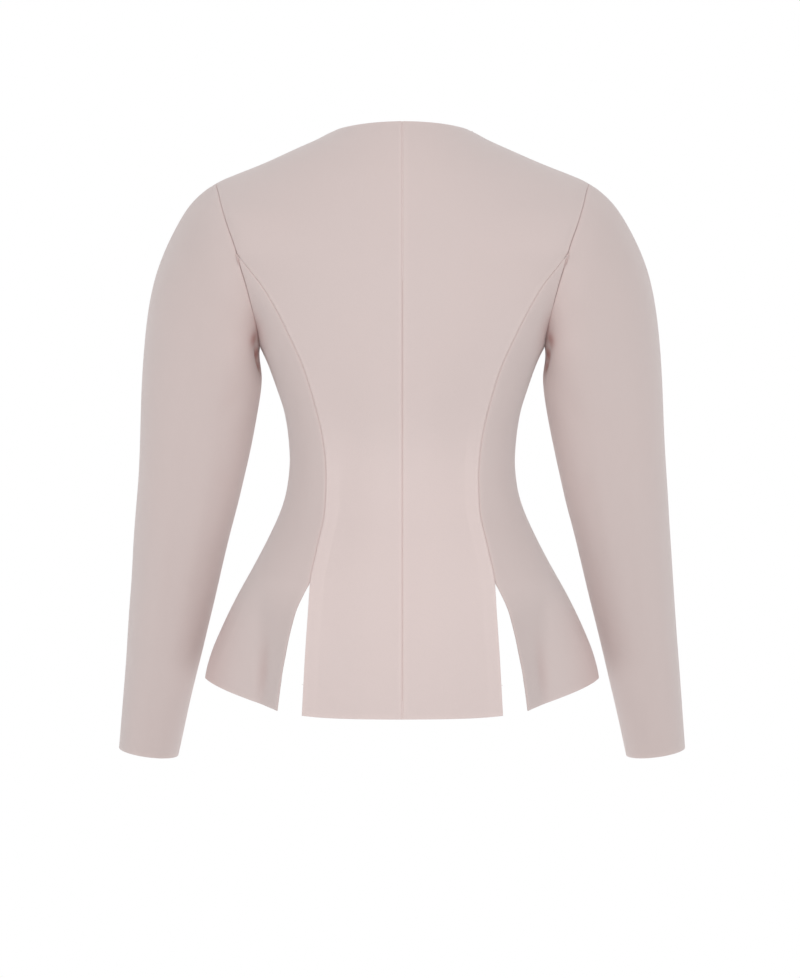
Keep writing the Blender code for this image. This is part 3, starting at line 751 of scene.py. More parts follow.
DRIFT_WAVES = (
    ((0.041, 0.013, 0.027), 0.4, 0.16),
    ((-0.023, 0.037, 0.019), 1.9, 0.15),
    ((0.017, -0.021, -0.052), 3.1, 0.12),
    ((0.063, 0.029, -0.031), 4.4, 0.08),
    ((-0.048, 0.017, 0.071), 5.2, 0.06),
)


def drift(points: np.ndarray) -> np.ndarray:
    """The slight unevenness of soft cloth over its form, the same on both sides of a seam."""
    return sum(depth * np.sin(points @ np.array(wave) + start) for wave, start, depth in DRIFT_WAVES)


@dataclass
class Path:
    """A line of points on the cloth for stitches to follow, with the way the cloth faces there."""

    points: np.ndarray
    facing: np.ndarray


@dataclass
class Panel:
    """One cut piece as a grid of points on its outside, from its top edge down and its centre edge out."""

    name: str
    node: str
    side: Side
    points: np.ndarray
    edges: list[PanelEdge]
    sink: np.ndarray | float = 0.0
    sewn_to: tuple[str, ...] = ()
    # A factor on the colour's value, which holds painted light and painted shade
    tone: np.ndarray | float = 1.0
    blush: np.ndarray | float = 0.0

    def __post_init__(self) -> None:
        """Works out the panel's faces from its outside and its edges."""
        base = self.points.copy()
        for end, inner in ((0, 1), (-1, -2)):
            inward = base[:, inner] - base[:, end]
            base[:, end] += inward / np.linalg.norm(inward, axis=1)[:, None] * SEAM_GAP / 2
        free = 1 - held(base)
        folded = sum(fold.at(base, self.side) for fold in FOLDS) * free
        moved = folded + drift(base * self.mirror) * free + self.sink
        base = base - self.normals_of(base) * moved[..., None]
        normals = self.normals_of(base)
        self.across, self.down = runs(base, 1), runs(base, 0)
        sunk = np.max([edge.grooved() for edge in self.edges], 0)
        sunk -= np.max([edge.raised() for edge in self.edges], 0)
        doubled = np.max([edge.doubled() for edge in self.edges], 0)
        rounding = np.max([edge.rounded() for edge in self.edges], 0)
        thick = np.maximum(CLOTH + doubled - rounding, sunk + LEAST_WALL)
        self.outer = (base - normals * sunk[..., None]) * self.mirror
        self.inner = (base - normals * thick[..., None]) * self.mirror
        self.inward = -normals * self.mirror
        # Painted highlight beside the seams and folded edges
        self.highlight_paint = np.max([edge.near(HIGHLIGHT_PAINT_REACH) for edge in self.edges], 0)
        # Painted shade in deep folds, in the seams and in the given patches
        deep = np.clip(folded / DEEP_FOLD, 0, 1) ** 2
        self.shade_paint = np.max([*(edge.shade_paint() for edge in self.edges), np.maximum(deep, self.blush)], 0)

    @property
    def mirror(self) -> np.ndarray:
        """The factors that take a point on the wearer's left to this panel's side."""
        return np.array([self.side.value, 1, 1])

    def normals_of(self, grid: np.ndarray) -> np.ndarray:
        """The outward directions of a grid on the wearer's left.

        Args:
            grid: The grid's points.

        Returns:
            A direction of length 1 for each point.
        """
        normals = np.cross(np.gradient(grid, axis=1), np.gradient(grid, axis=0))
        normals /= np.linalg.norm(normals, axis=2)[..., None]
        middle = tuple(count // 2 for count in grid.shape[:2])
        return normals * np.sign(normals[middle] @ self.outward(grid[middle]))

    def outward(self, point: np.ndarray) -> np.ndarray:
        """Roughly the way out of the body at a point."""
        return np.array([0, point[1], 0])

    def area(self) -> float:
        """The area of the cloth's outside in square metres."""
        crossing = self.outer[1:, 1:] - self.outer[:-1, :-1], self.outer[1:, :-1] - self.outer[:-1, 1:]
        return float(np.linalg.norm(np.cross(*crossing), axis=2).sum() / 2) * MM * MM

    def flat(self) -> tuple[float, float]:
        """The width and the length of the flat piece in metres."""
        return float(self.across.max()) * MM, float(self.down.max()) * MM

    def inside_column(self, column: int, first: int = 0, last: int | None = None) -> Path:
        """A line down the panel's inside."""
        rows = slice(first, last)
        return Path(self.inner[rows, column], self.inward[rows, column])

    def inside_row(self, row: int) -> Path:
        """A line across the panel's inside."""
        return Path(self.inner[row], self.inward[row])

    def build(self, finish: bpy.types.Material) -> bpy.types.Object:
        """Makes the panel's closed mesh.

        Args:
            finish: The cloth's material.

        Returns:
            The object, dressed and in place.
        """
        count_down, count_across = self.outer.shape[:2]
        place = np.arange(count_down * count_across).reshape(count_down, count_across)
        corners = [place[:-1, :-1], place[1:, :-1], place[1:, 1:], place[:-1, 1:]]
        outside = np.stack([corner.ravel() for corner in corners], 1)
        border = np.concatenate([place[:, 0], place[-1, 1:], place[-2::-1, -1], place[0, -2:0:-1]])
        following = np.roll(border, -1)
        shift = place.size
        rim = np.stack([following, border, border + shift, following + shift], 1)
        quads = np.concatenate([outside, outside[:, ::-1] + shift, rim])
        first = [self.outer.reshape(-1, 3)[i] for i in outside[len(outside) // 2][:3]]
        facing = np.cross(first[1] - first[0], first[2] - first[0])
        if facing @ self.inward.reshape(-1, 3)[outside[len(outside) // 2][0]] > 0:
            quads = quads[:, ::-1]
        points = np.concatenate([self.outer.reshape(-1, 3), self.inner.reshape(-1, 3)]) * MM
        weave = np.stack([self.across, -self.down], -1).reshape(-1, 2) * MM
        made = mesh_object(self.name, points, quads, finish)
        lay_flat(made.data, np.concatenate([weave, weave])[quads.ravel()])
        # The painted highlight, the painted shade and the painted light factor, kept at each point for the
        # material
        painted_light_grid = np.broadcast_to(self.tone, self.highlight_paint.shape)
        for word, values in (("highlight_paint", self.highlight_paint), ("shade_paint", self.shade_paint), ("tone", painted_light_grid)):
            keep(made.data, word, np.tile(values.ravel(), 2))
        return made


@dataclass
class SleevePanel(Panel):
    """A sleeve's cut piece, whose way out is away from the sleeve's own middle."""

    def outward(self, point: np.ndarray) -> np.ndarray:
        """Roughly the way out of the sleeve at a point of its outer side."""
        return np.array([1.0, 0, 0])

    def flat(self) -> tuple[float, float]:
        """The width at the bicep, where the cut is widest, and the length of the flat piece in metres."""
        bicep = int(np.argmin(np.abs(self.points[:, self.points.shape[1] // 2, 2] - BICEP_HEIGHT)))
        return float(self.across[bicep, -1]) * MM, float(self.down.max()) * MM


def in_scene(name: str, data: bpy.types.ID) -> bpy.types.Object:
    """Puts a new object in the scene.

    Args:
        name: The object's name.
        data: Its mesh or its camera.

    Returns:
        The object, at the origin.
    """
    made = bpy.data.objects.new(name, data)
    bpy.context.collection.objects.link(made)
    return made


def mesh_object(
    name: str, points: np.ndarray, faces: np.ndarray, finish: bpy.types.Material
) -> bpy.types.Object:
    """A smooth object from points in metres and faces of one size.

    Args:
        name: The piece's name.
        points: The points, one a row.
        faces: The corner numbers, one face a row.
        finish: The material.

    Returns:
        The object at the origin, in the scene.
    """
    mesh = bpy.data.meshes.new(name)
    mesh.from_pydata(points.tolist(), [], faces.tolist())
    mesh.materials.append(finish)
    mesh.shade_smooth()
    mesh.set_sharp_from_angle(angle=math.radians(SHARP_ANGLE))
    return in_scene(name, mesh)


def keep(mesh: bpy.types.Mesh, word: str, values: np.ndarray) -> None:
    """Keeps a value at each point of a mesh.

    Args:
        mesh: The mesh.
        word: The value's name.
        values: One number a point, or one row of three for a direction.
    """
    is_direction = values.ndim == 2
    kept = mesh.attributes.new(word, "FLOAT_VECTOR" if is_direction else "FLOAT", "POINT")
    kept.data.foreach_set("vector" if is_direction else "value", values.astype(np.float32).ravel())


def lay_flat(mesh: bpy.types.Mesh, corners: np.ndarray) -> None:
    """Gives each corner of the mesh's faces its place on the flat cloth, in metres."""
    weave_map = mesh.uv_layers.new(name="weave")
    weave_map.uv.foreach_set("vector", corners.astype(np.float32).ravel())


def resampled(curve: np.ndarray, places: np.ndarray) -> np.ndarray:
    """The curve parameter, from 0 to 1, at each of these distances along a dense curve."""
    along = runs(curve[:, None], 0)[:, 0]
    return np.interp(places, along, np.linspace(0, 1, len(curve)))


@dataclass
class Body:
    """The body: two centre-back panels, two fronts that lap, and four side panels with the peplum."""

    # How the panels' grids are drawn, and how short one edge's finish gives way to the next
    centre_middle: int = 36
    side_middle: int = 22
    tip_steps: tuple[float, ...] = (0.5, 0.9, 1.4, 2.1, 3.0, 4.2, 5.8, 8.0, 10.5)
    neck_step_count: int = 9
    front_neck_steps: tuple[float, ...] = (0.0, 0.6, 1.4, 2.4, 3.6, 5.0)
    front_neck_drop: float = 0.8
    seam_blend: float = 2.0
    slit_blend: float = 6.0
    princess_fade: float = 14.0
    settle_rounds: int = 70
    settle_reach: float = 34.0
    settle_fade: float = 18.0

    # The back neck's rise to its middle, and the left front's place under the lap
    neck_rise: float = 3.2
    neck_rise_bend: float = 2.5
    neck_rise_reach: float = 26.0
    under_lap_sink: float = 2.4
    under_lap_full: float = 20.0
    under_lap_end: float = 42.0

    # The hems: the centre panels' slight curve, and the rise along the peplum's sides
    hem_drop: float = 1.4
    hem_lift: float = 2.2
    hem_lift_bend: float = 5.0
    hem_curve_reach: float = 40.0
    wing_hem_at_slit: float = -602.0
    wing_hem_rise: float = 27.5
    wing_hem_straight: float = 0.82
    wing_hem_bend: float = 5.0
    wing_measure_height: float = -590.0

    # Painted light and shade: how much lighter or darker the cloth's colour is painted from place to place,
    # and the painted shade at the flare's outer fold
    painted_light_middle: float = 0.85
    edge_tone: float = 0.35
    side_painted_shade: float = 0.92
    side_painted_waist_share: float = 0.3
    tip_painted_light: float = 0.04
    tip_painted_light_end: float = -205.0
    tip_painted_light_span: float = 40.0
    wing_painted_light: float = 0.965
    wing_painted_light_rate: float = 3.0
    wing_shade: float = 0.08
    wing_shade_out: float = 140.0
    wing_shade_span: float = 14.0
    wing_fold_shade: float = 0.3
    wing_fold_shade_rate: float = 2.0
    wing_fold_shade_reach: float = 36.0

    def shares(self, side: BodySide, section: np.ndarray, start: np.ndarray, middle: int) -> np.ndarray:
        """The curve parameters of a panel's columns on each row.

        Args:
            side: The back or the front.
            section: The rows' control points.
            start: The parameter at which each row starts.
            middle: The number of equal steps between the seams' columns.

        Returns:
            One row of parameters for each section.
        """
        rows = []
        for controls, first in zip(section, start):
            dense = np.linspace(first, 1, CURVE_SAMPLES)
            curve = side.point(controls[None], np.zeros(CURVE_SAMPLES), dense)
            length = runs(curve[:, None], 0)[-1, 0]
            places = resampled(curve, spread(length, EDGE_STEPS, EDGE_STEPS, middle))
            rows.append(first + (1 - first) * places)
        return np.array(rows)

    def settled(self, points: np.ndarray, height: np.ndarray) -> np.ndarray:
        """The grid with the turn over the shoulder evened out, all but its seam at the armhole.

        Args:
            points: The panel's grid, which is changed.
            height: The rows' heights.

        Returns:
            The same grid.
        """
        across = runs(points, 1)
        near = smooth_step((self.settle_reach - np.abs(height - SHOULDER_HEIGHT)) / self.settle_fade)
        weight = near[:, None] * smooth_step((across[:, -1:] - across) / self.settle_fade)
        for _ in range(self.settle_rounds):
            points[1:-1] += ((points[:-2] + points[2:]) / 2 - points[1:-1]) * weight[1:-1, :, None] / 2
        return points

    def tone(self, height: np.ndarray, across: np.ndarray) -> np.ndarray:
        """Painted light on a centre panel: its colour is painted lighter below the waist, and most so beside
        its outer seam.
        """
        way = across / across[:, -1:]
        return 1 + PAINTED_WAIST_LIGHT.at(height, "rise")[:, None] * (self.painted_light_middle + self.edge_tone * way)

    def hem_curved(self, points: np.ndarray, height: np.ndarray) -> np.ndarray:
        """The grid with its hem a little lower at the centre line and higher at the slit.

        Args:
            points: The panel's grid, which is changed.
            height: The rows' heights.

        Returns:
            The same grid.
        """
        way = np.abs(points[..., 0]) / points[-1, -1, 0]
        near = np.exp(-(((height[:, None] - HEM_HEIGHT) / self.hem_curve_reach) ** 2))
        points[..., 2] += (self.hem_lift * np.minimum(way, 1) ** self.hem_lift_bend - self.hem_drop) * near
        return points

    def wing_hem(self, body_side: BodySide, shares: np.ndarray) -> np.ndarray:
        """The height of the peplum side's hem, which rises nearly in line with the way out.

        Args:
            body_side: The back or the front.
            shares: The curve parameters of the panel's columns.

        Returns:
            The hem's height at each column.
        """
        section = body_side.side_section(np.array([self.wing_measure_height]))[0]
        out = bezier(section, shares)[..., 0]
        way = (out - section[0, 0]) / (section[3, 0] - section[0, 0])
        rise = self.wing_hem_straight * way + (1 - self.wing_hem_straight) * way**self.wing_hem_bend
        return self.wing_hem_at_slit + self.wing_hem_rise * rise

    def outer_edges(self, side: BodySide, height: np.ndarray, distance: np.ndarray) -> list[PanelEdge]:
        """The centre panel's outer edge, which is three seams and a slit, one after another.

        Args:
            side: The back or the front.
            height: The rows' heights.
            distance: How far each grid point lies from the edge.

        Returns:
            The shoulder seam, the armhole seam, the princess seam and the slit.
        """
        below_shoulder = smooth_step((SHOULDER_HEIGHT - height) / self.seam_blend)[:, None]
        below_tip = smooth_step((side.tip[2] - height) / self.seam_blend)[:, None]
        sewn, below_slit = self.princess(side, height)
        return [
            PanelEdge(SHOULDER_SEAM_FINISH, distance, 1 - below_shoulder),
            armhole_edge(height[:, None], distance, below_shoulder * (1 - below_tip)),
            PanelEdge(PLAIN_SEAM, distance, sewn),
            PanelEdge(SLIT_FOLD, distance, below_slit),
        ]

    def princess(self, side: BodySide, height: np.ndarray) -> tuple[np.ndarray, np.ndarray]:
        """Where the princess seam is sewn, and where it is open as a slit.

        Args:
            side: The back or the front.
            height: The rows' heights.

        Returns:
            A weight from 0 to 1 on each row, for the seam and for the slit.
        """
        below_slit = smooth_step((side.slit_top - height) / self.slit_blend)[:, None]
        below_tip = smooth_step((side.tip[2] - height) / self.princess_fade)[:, None]
        return below_tip * (1 - below_slit), below_slit

    def back(self, side: Side) -> Panel:
        """A centre-back panel, from the neck to the hem.

        Args:
            side: The wearer's left or right.

        Returns:
            The panel, whose top edge rises to the middle of the neck.
        """
        height = levels(NECK_HEIGHT, HEM_HEIGHT, EDGE_STEPS[: self.neck_step_count], HEM_STEPS)
        section = BACK.centre_section(height)
        shares = self.shares(BACK, section, np.zeros(len(height)), self.centre_middle)
        points = BACK.point(section[:, None], np.broadcast_to(height[:, None], shares.shape), shares)
        points = self.settled(points, height)
        way = points[..., 0] / points[0, -1, 0]
        rise = self.neck_rise * (1 - np.minimum(way, 1) ** self.neck_rise_bend)
        points[..., 2] += rise * np.exp(-((height[:, None] / self.neck_rise_reach) ** 2))
        points = self.hem_curved(points, height)
        across, down = runs(points, 1), runs(points, 0)
        edges = [
            PanelEdge(PLAIN_SEAM, across),
            PanelEdge(NECK_FOLD, down),
            PanelEdge(HEM_FOLD, down[-1:] - down),
            *self.outer_edges(BACK, height, across[:, -1:] - across),
        ]
        name = f"back_{side.word}"
        return Panel(f"{name}_cloth", name, side, points, edges, tone=self.tone(height, across))

    def front(self, side: Side) -> Panel:
        """A front with its neck and lap edge. The wearer's right front laps over the left one.

        Args:
            side: The wearer's left or right.

        Returns:
            The panel, which is sunk under the lap on the left.
        """
        height = levels(NECK_HEIGHT - self.front_neck_drop, HEM_HEIGHT, self.front_neck_steps, HEM_STEPS)
        section = FRONT.centre_section(height)
        edge = FRONT_EDGE.at(height, "out")
        dense = np.linspace(0, 1, CURVE_SAMPLES)
        start = []
        for controls, out in zip(section, edge):
            curve = bezier(controls[None], dense)[:, 0]
            start.append(math.copysign(float(np.interp(abs(out), curve, dense)), out))
        shares = self.shares(FRONT, section, np.array(start), self.centre_middle)
        points = FRONT.point(section[:, None], np.broadcast_to(height[:, None], shares.shape), shares)
        points = self.hem_curved(self.settled(points, height), height)
        across, down = runs(points, 1), runs(points, 0)
        edges = [
            PanelEdge(FRONT_FOLD, across),
            PanelEdge(HEM_FOLD, down[-1:] - down),
            *self.outer_edges(FRONT, height, across[:, -1:] - across),
        ]
        sink = 0.0
        if side is Side.LEFT:
            lapped = (self.under_lap_end - points[..., 0]) / (self.under_lap_end - self.under_lap_full)
            sink = self.under_lap_sink * smooth_step(lapped)
        name = f"front_{side.word}"
        sewn_to = (f"back_{side.word}_cloth",)
        return Panel(f"{name}_cloth", name, side, points, edges, sink, sewn_to, self.tone(height, across))

    def side(self, body_side: BodySide, part: str, side: Side) -> Panel:
        """A side panel, from its tip at the armhole to the rising hem of the peplum's wing.

        Args:
            body_side: The back or the front.
            part: The word for it in piece names.
            side: The wearer's left or right.

        Returns:
            The panel, with its painted light and its painted shade.
        """
        height = levels(body_side.tip[2], HEM_HEIGHT, self.tip_steps, HEM_STEPS)
        section = body_side.side_section(height)
        shares = self.shares(body_side, section, np.zeros(len(height)), self.side_middle)
        below = np.maximum((BACK_SLIT_TOP - height) / (BACK_SLIT_TOP - HEM_HEIGHT), 0)[:, None]
        hem = self.wing_hem(body_side, shares)
        own = np.where(below > 0, BACK_SLIT_TOP + below * (hem - BACK_SLIT_TOP), height[:, None])
        points = body_side.point(body_side.side_section(own), own, shares)
        across, down = runs(points, 1), runs(points, 0)
        sewn, below_slit = self.princess(body_side, height)
        below_underarm = smooth_step((UNDERARM_HEIGHT - height) / self.seam_blend)[:, None]
        outer = across[:, -1:] - across
        edges = [
            PanelEdge(PLAIN_SEAM, across, sewn),
            PanelEdge(SLIT_FOLD, across, below_slit),
            PanelEdge(HEM_FOLD, down[-1:] - down),
            armhole_edge(height[:, None], outer, 1 - below_underarm),
            PanelEdge(PLAIN_SEAM, outer, below_underarm),
        ]
        tone = self.side_panel_tone(points, height, below)
        # Painted shade along the flare's outer fold and in the underarm patches
        flare = self.wing_fold_shade * np.exp(-((outer / self.wing_fold_shade_reach) ** 2))
        flare = flare * smooth_step(below * self.wing_fold_shade_rate)
        blush = np.max([flare, *(patch.at(points) for patch in BODY_PAINTED_SHADES)], 0)
        name = f"side_{part}_{side.word}"
        sewn_to = (f"{part}_{side.word}_cloth",)
        return Panel(f"{name}_cloth", name, side, points, edges, 0.0, sewn_to, tone, blush)

    def side_panel_tone(self, points: np.ndarray, height: np.ndarray, below: np.ndarray) -> np.ndarray:
        """The painted light and shade of a side panel.

        Args:
            points: The panel's grid.
            height: The rows' heights.
            below: How far down the peplum each row lies, from 0 to 1.

        Returns:
            The painted light factor of each grid point.
        """
        upper = self.side_painted_shade * (1 + self.side_painted_waist_share * PAINTED_WAIST_LIGHT.at(height, "rise")[:, None])
        slit_side = 1 - smooth_step((points[..., 0] - self.wing_shade_out) / self.wing_shade_span)
        wing = self.wing_painted_light * (1 - self.wing_shade * slit_side)
        tone = upper + (wing - upper) * smooth_step(below * self.wing_painted_light_rate)
        tone += self.tip_painted_light * smooth_step((height - self.tip_painted_light_end) / self.tip_painted_light_span)[:, None]
        return tone * (1 + sum(patch.at(points) for patch in BODY_LIGHTS))

    def make(self) -> list[Panel]:
        """Works out the eight body panels.

        Returns:
            The panels, each after the one that it is sewn to.
        """
        panels = []
        for side in Side:
            panels += [self.back(side), self.front(side)]
            panels += [self.side(BACK, "back", side), self.side(FRONT, "front", side)]
        return panels


@dataclass
class Sleeve:
    """A one-piece set-in sleeve with one underarm seam and a plain cuff."""

    # How the grid is drawn, with the change from cap to arm evened out
    half_girth: float = 190.0
    half_middle: int = 52
    cap_middle: int = 44
    ring_step: float = 4.6
    settle_rounds: int = 160
    settle_rows: int = 20
    settle_hold: float = 1.25

    # The gap at the armhole, and how the rings turn square to the sleeve's line below the bicep
    clearance: float = 0.06
    lean_span: float = 110.0
    slope_reach: float = 6.0

    # Painted light and shade: the cloth painted darker overall, and lighter at the top and on the inner side
    # that the body shades
    cloth_painted_shade: float = 0.92
    top_painted_light: float = 0.055
    top_reach: float = 26.0
    inner_painted_light: float = 0.2
    inner_share: float = 0.45

    def middle(self, height: np.ndarray) -> np.ndarray:
        """How far out and how deep the middle of the sleeve lies at these heights."""
        inner, outer = SLEEVE_RINGS.at(height, "inner_side"), SLEEVE_RINGS.at(height, "outer_side")
        return np.stack([(inner + outer) / 2, SLEEVE_RINGS.at(height, "centre_depth")], -1)

    def ring(self, height: float, angle: np.ndarray) -> np.ndarray:
        """The sleeve's points round its middle at one height, which lie square to its line below the bicep.

        Args:
            height: The ring's height.
            angle: The angles round the sleeve, from its outer side.

        Returns:
            One point for each angle.
        """
        inner, outer = SLEEVE_RINGS.at(height, "inner_side"), SLEEVE_RINGS.at(height, "outer_side")
        across = (outer - inner) / 2 * np.cos(angle)
        back = SLEEVE_RINGS.at(height, "half_depth") * np.sin(angle)
        lean = min(max((BICEP_HEIGHT - height) / self.lean_span, 0), 1)
        above = min(height + self.slope_reach, BICEP_HEIGHT)
        below = max(height - self.slope_reach, CUFF_HEIGHT)
        change = self.middle(np.float64(below)) - self.middle(np.float64(above))
        out_slope, back_slope = change / (below - above)
        rise = -(out_slope * across + back_slope * back) * lean
        out, depth = self.middle(np.float64(height))
        return np.stack([out + across, depth + back, height + rise], -1)

    def cap_column(self, body_side: BodySide, share: float) -> np.ndarray:
        """One column of the cap, from the armhole down to the bicep.

        Args:
            body_side: The half of the armhole that the column starts on.
            share: How far round that half it starts, from the shoulder.

        Returns:
            The column's points from the top down.
        """
        start = body_side.armhole.at_share(share) + np.array([self.clearance, 0, 0])
        end = self.ring(BICEP_HEIGHT, np.array([math.pi * share * body_side.facing]))[0]
        leave = np.array([float(SLEEVE_CAP.at(share, axis)) for axis in ("out", "back", "down")])
        leave[1] *= body_side.facing
        rise, drop = SLEEVE_CAP.at(share, "rise_reach"), SLEEVE_CAP.at(share, "drop_reach")
        controls = np.array([start, start + leave * rise, end + np.array([0, 0, drop]), end])
        curve = bezier(controls[None], np.linspace(0, 1, CURVE_SAMPLES))
        length = runs(curve[:, None], 0)[-1, 0]
        return bezier(controls[None], resampled(curve, spread(length, EDGE_STEPS, (), self.cap_middle)))

    def settled(self, points: np.ndarray) -> np.ndarray:
        """The grid with the change from cap to arm evened out along the sleeve.

        Args:
            points: The sleeve's grid, which is changed.

        Returns:
            The same grid.
        """
        bicep = len(EDGE_STEPS) + self.cap_middle - 1
        rows = np.arange(len(points))
        weight = smooth_step(self.settle_hold - np.abs(rows - bicep) / self.settle_rows)[1:-1, None, None]
        for _ in range(self.settle_rounds):
            points[1:-1] += ((points[:-2] + points[2:]) / 2 - points[1:-1]) * weight / 2
        return points

    def make(self, side: Side) -> Panel:
        """Works out the sleeve of one side.

        Args:
            side: The wearer's left or right.

        Returns:
            The sleeve's panel, from one side of its underarm seam round to the other.
        """
        steps = spread(self.half_girth, EDGE_STEPS, (), self.half_middle) / self.half_girth
        columns = [(BACK, 1 - step) for step in steps] + [(FRONT, 1 - step) for step in steps[-2::-1]]
        cap = np.array([self.cap_column(body_side, share) for body_side, share in columns]).transpose(1, 0, 2)
        angles = np.array([math.pi * share * body_side.facing for body_side, share in columns])
        last = CUFF_HEIGHT + HEM_STEPS[-1]
        heights = list(np.linspace(BICEP_HEIGHT, last, int((BICEP_HEIGHT - last) / self.ring_step) + 1)[1:])
        heights += [CUFF_HEIGHT + step for step in reversed(HEM_STEPS[:-1])]
        rings = np.array([self.ring(height, angles) for height in heights])
        points = self.settled(np.concatenate([cap, rings]))
        across, down = runs(points, 1), runs(points, 0)
        edges = [
            PanelEdge(PLAIN_SEAM, across),
            PanelEdge(PLAIN_SEAM, across[:, -1:] - across),
            armhole_edge(points[:1, :, 2], down),
            PanelEdge(HEM_FOLD, down[-1:] - down),
        ]
        name = f"sleeve_{side.word}"
        sewn_to = (f"back_{side.word}_cloth", f"front_{side.word}_cloth")
        shares = np.array([share for _, share in columns])
        # Painted light on the inner side and at the top, and painted shade under the arm
        inner = smooth_step((shares - self.inner_share) / (1 - self.inner_share))
        tone = self.cloth_painted_shade * (1 + self.inner_painted_light * inner)
        tone = tone + self.top_painted_light * np.exp(-((down / self.top_reach) ** 2))
        tone = tone * (1 + sum(patch.at(points) for patch in SLEEVE_LIGHTS))
        blush = np.max([patch.at(points) for patch in SLEEVE_PAINTED_SHADES], 0)
        return SleevePanel(f"{name}_cloth", name, side, points, edges, 0.0, sewn_to, tone, blush)


@dataclass
class Buttons:
    """The covered buttons on the lap's centre line."""

    heights: tuple[float, ...] = (-205.0, -250.0, -295.0, -340.0)
    gap: float = 0.35
    sides: int = 64
    gathers: int = 26
    gather_depth: float = 0.18
    gather_from: float = 6.0
    gather_top: float = 2.4
    seat_reach: float = 2.0
    tone: float = 0.97
    profile: tuple[tuple[float, float], ...] = (
        (0.0, 0.0), (3.3, 0.0), (3.5, 0.3), (3.5, 1.45), (3.9, 1.7), (6.5, 1.65), (8.8, 1.75),
        (9.6, 2.05), (9.95, 2.55), (9.9, 3.05), (9.4, 3.65), (8.3, 4.3), (6.6, 4.95), (4.6, 5.4),
        (2.4, 5.7), (0.0, 5.8),
    )

    def mesh_points(self) -> tuple[np.ndarray, np.ndarray]:
        """The button about Z, sitting on the cloth at height 0.

        Returns:
            The points in millimetres, and four corner numbers for each face.
        """
        angles = np.arange(self.sides) * 2 * math.pi / self.sides
        points = [np.array([[0.0, 0.0, self.profile[0][1]]])]
        for out, height in self.profile[1:-1]:
            is_gathered = out > self.gather_from and height < self.gather_top
            radius = out + self.gather_depth * np.cos(angles * self.gathers) * is_gathered
            level = np.full(self.sides, height)
            points.append(np.stack([radius * np.cos(angles), radius * np.sin(angles), level], 1))
        points.append(np.array([[0.0, 0.0, self.profile[-1][1]]]))
        grid = np.concatenate(points)
        around, last = np.arange(self.sides), len(grid) - 1
        following = (around + 1) % self.sides
        faces = [[0, 1 + b, 1 + a, 1 + a] for a, b in zip(around, following)]
        for ring in range(len(self.profile) - 3):
            low, high = 1 + ring * self.sides, 1 + (ring + 1) * self.sides
            faces += [[low + a, low + b, high + b, high + a] for a, b in zip(around, following)]
        top = 1 + (len(self.profile) - 3) * self.sides
        faces += [[top + a, top + b, last, last] for a, b in zip(around, following)]
        return grid, np.array(faces)

    def seat(self, height: float) -> tuple[np.ndarray, np.ndarray]:
        """Where a button meets the lap's centre line, and the way it faces.

        Args:
            height: The button's height.

        Returns:
            The place, and a direction of length 1.
        """
        heights = np.array([height + self.seat_reach, height, height - self.seat_reach])
        above, here, below = FRONT_CENTRE.at(heights, "depth")
        down = np.array([0.0, above - below, -2 * self.seat_reach])
        out = np.array([0.0, down[2], -down[1]]) / np.linalg.norm(down)
        return np.array([0.0, -here, height]), out

    def make(self, number: int, finish: bpy.types.Material) -> bpy.types.Object:
        """Makes one button in its place.

        Args:
            number: The button's number from the top, from 0.
            finish: The covering's material.

        Returns:
            The button's object.
        """
        seat, out = self.seat(self.heights[number])
        turned = Vector(out).to_track_quat("Z", "Y").to_matrix().to_4x4()
        placed = Matrix.Translation(Vector(seat + out * self.gap)) @ turned
        grid, faces = self.mesh_points()
        points = np.array([placed @ Vector(point) for point in grid]) * MM
        mesh = bpy.data.meshes.new(f"covered_button_{number + 1}")
        trimmed = [list(dict.fromkeys(face)) for face in faces.tolist()]
        mesh.from_pydata(points.tolist(), [], trimmed)
        mesh.materials.append(finish)
        mesh.shade_smooth()
        lay_flat(mesh, np.concatenate([grid[face, :2] for face in trimmed]) * MM)
        keep(mesh, "tone", np.full(len(points), self.tone))
        return in_scene(mesh.name, mesh)


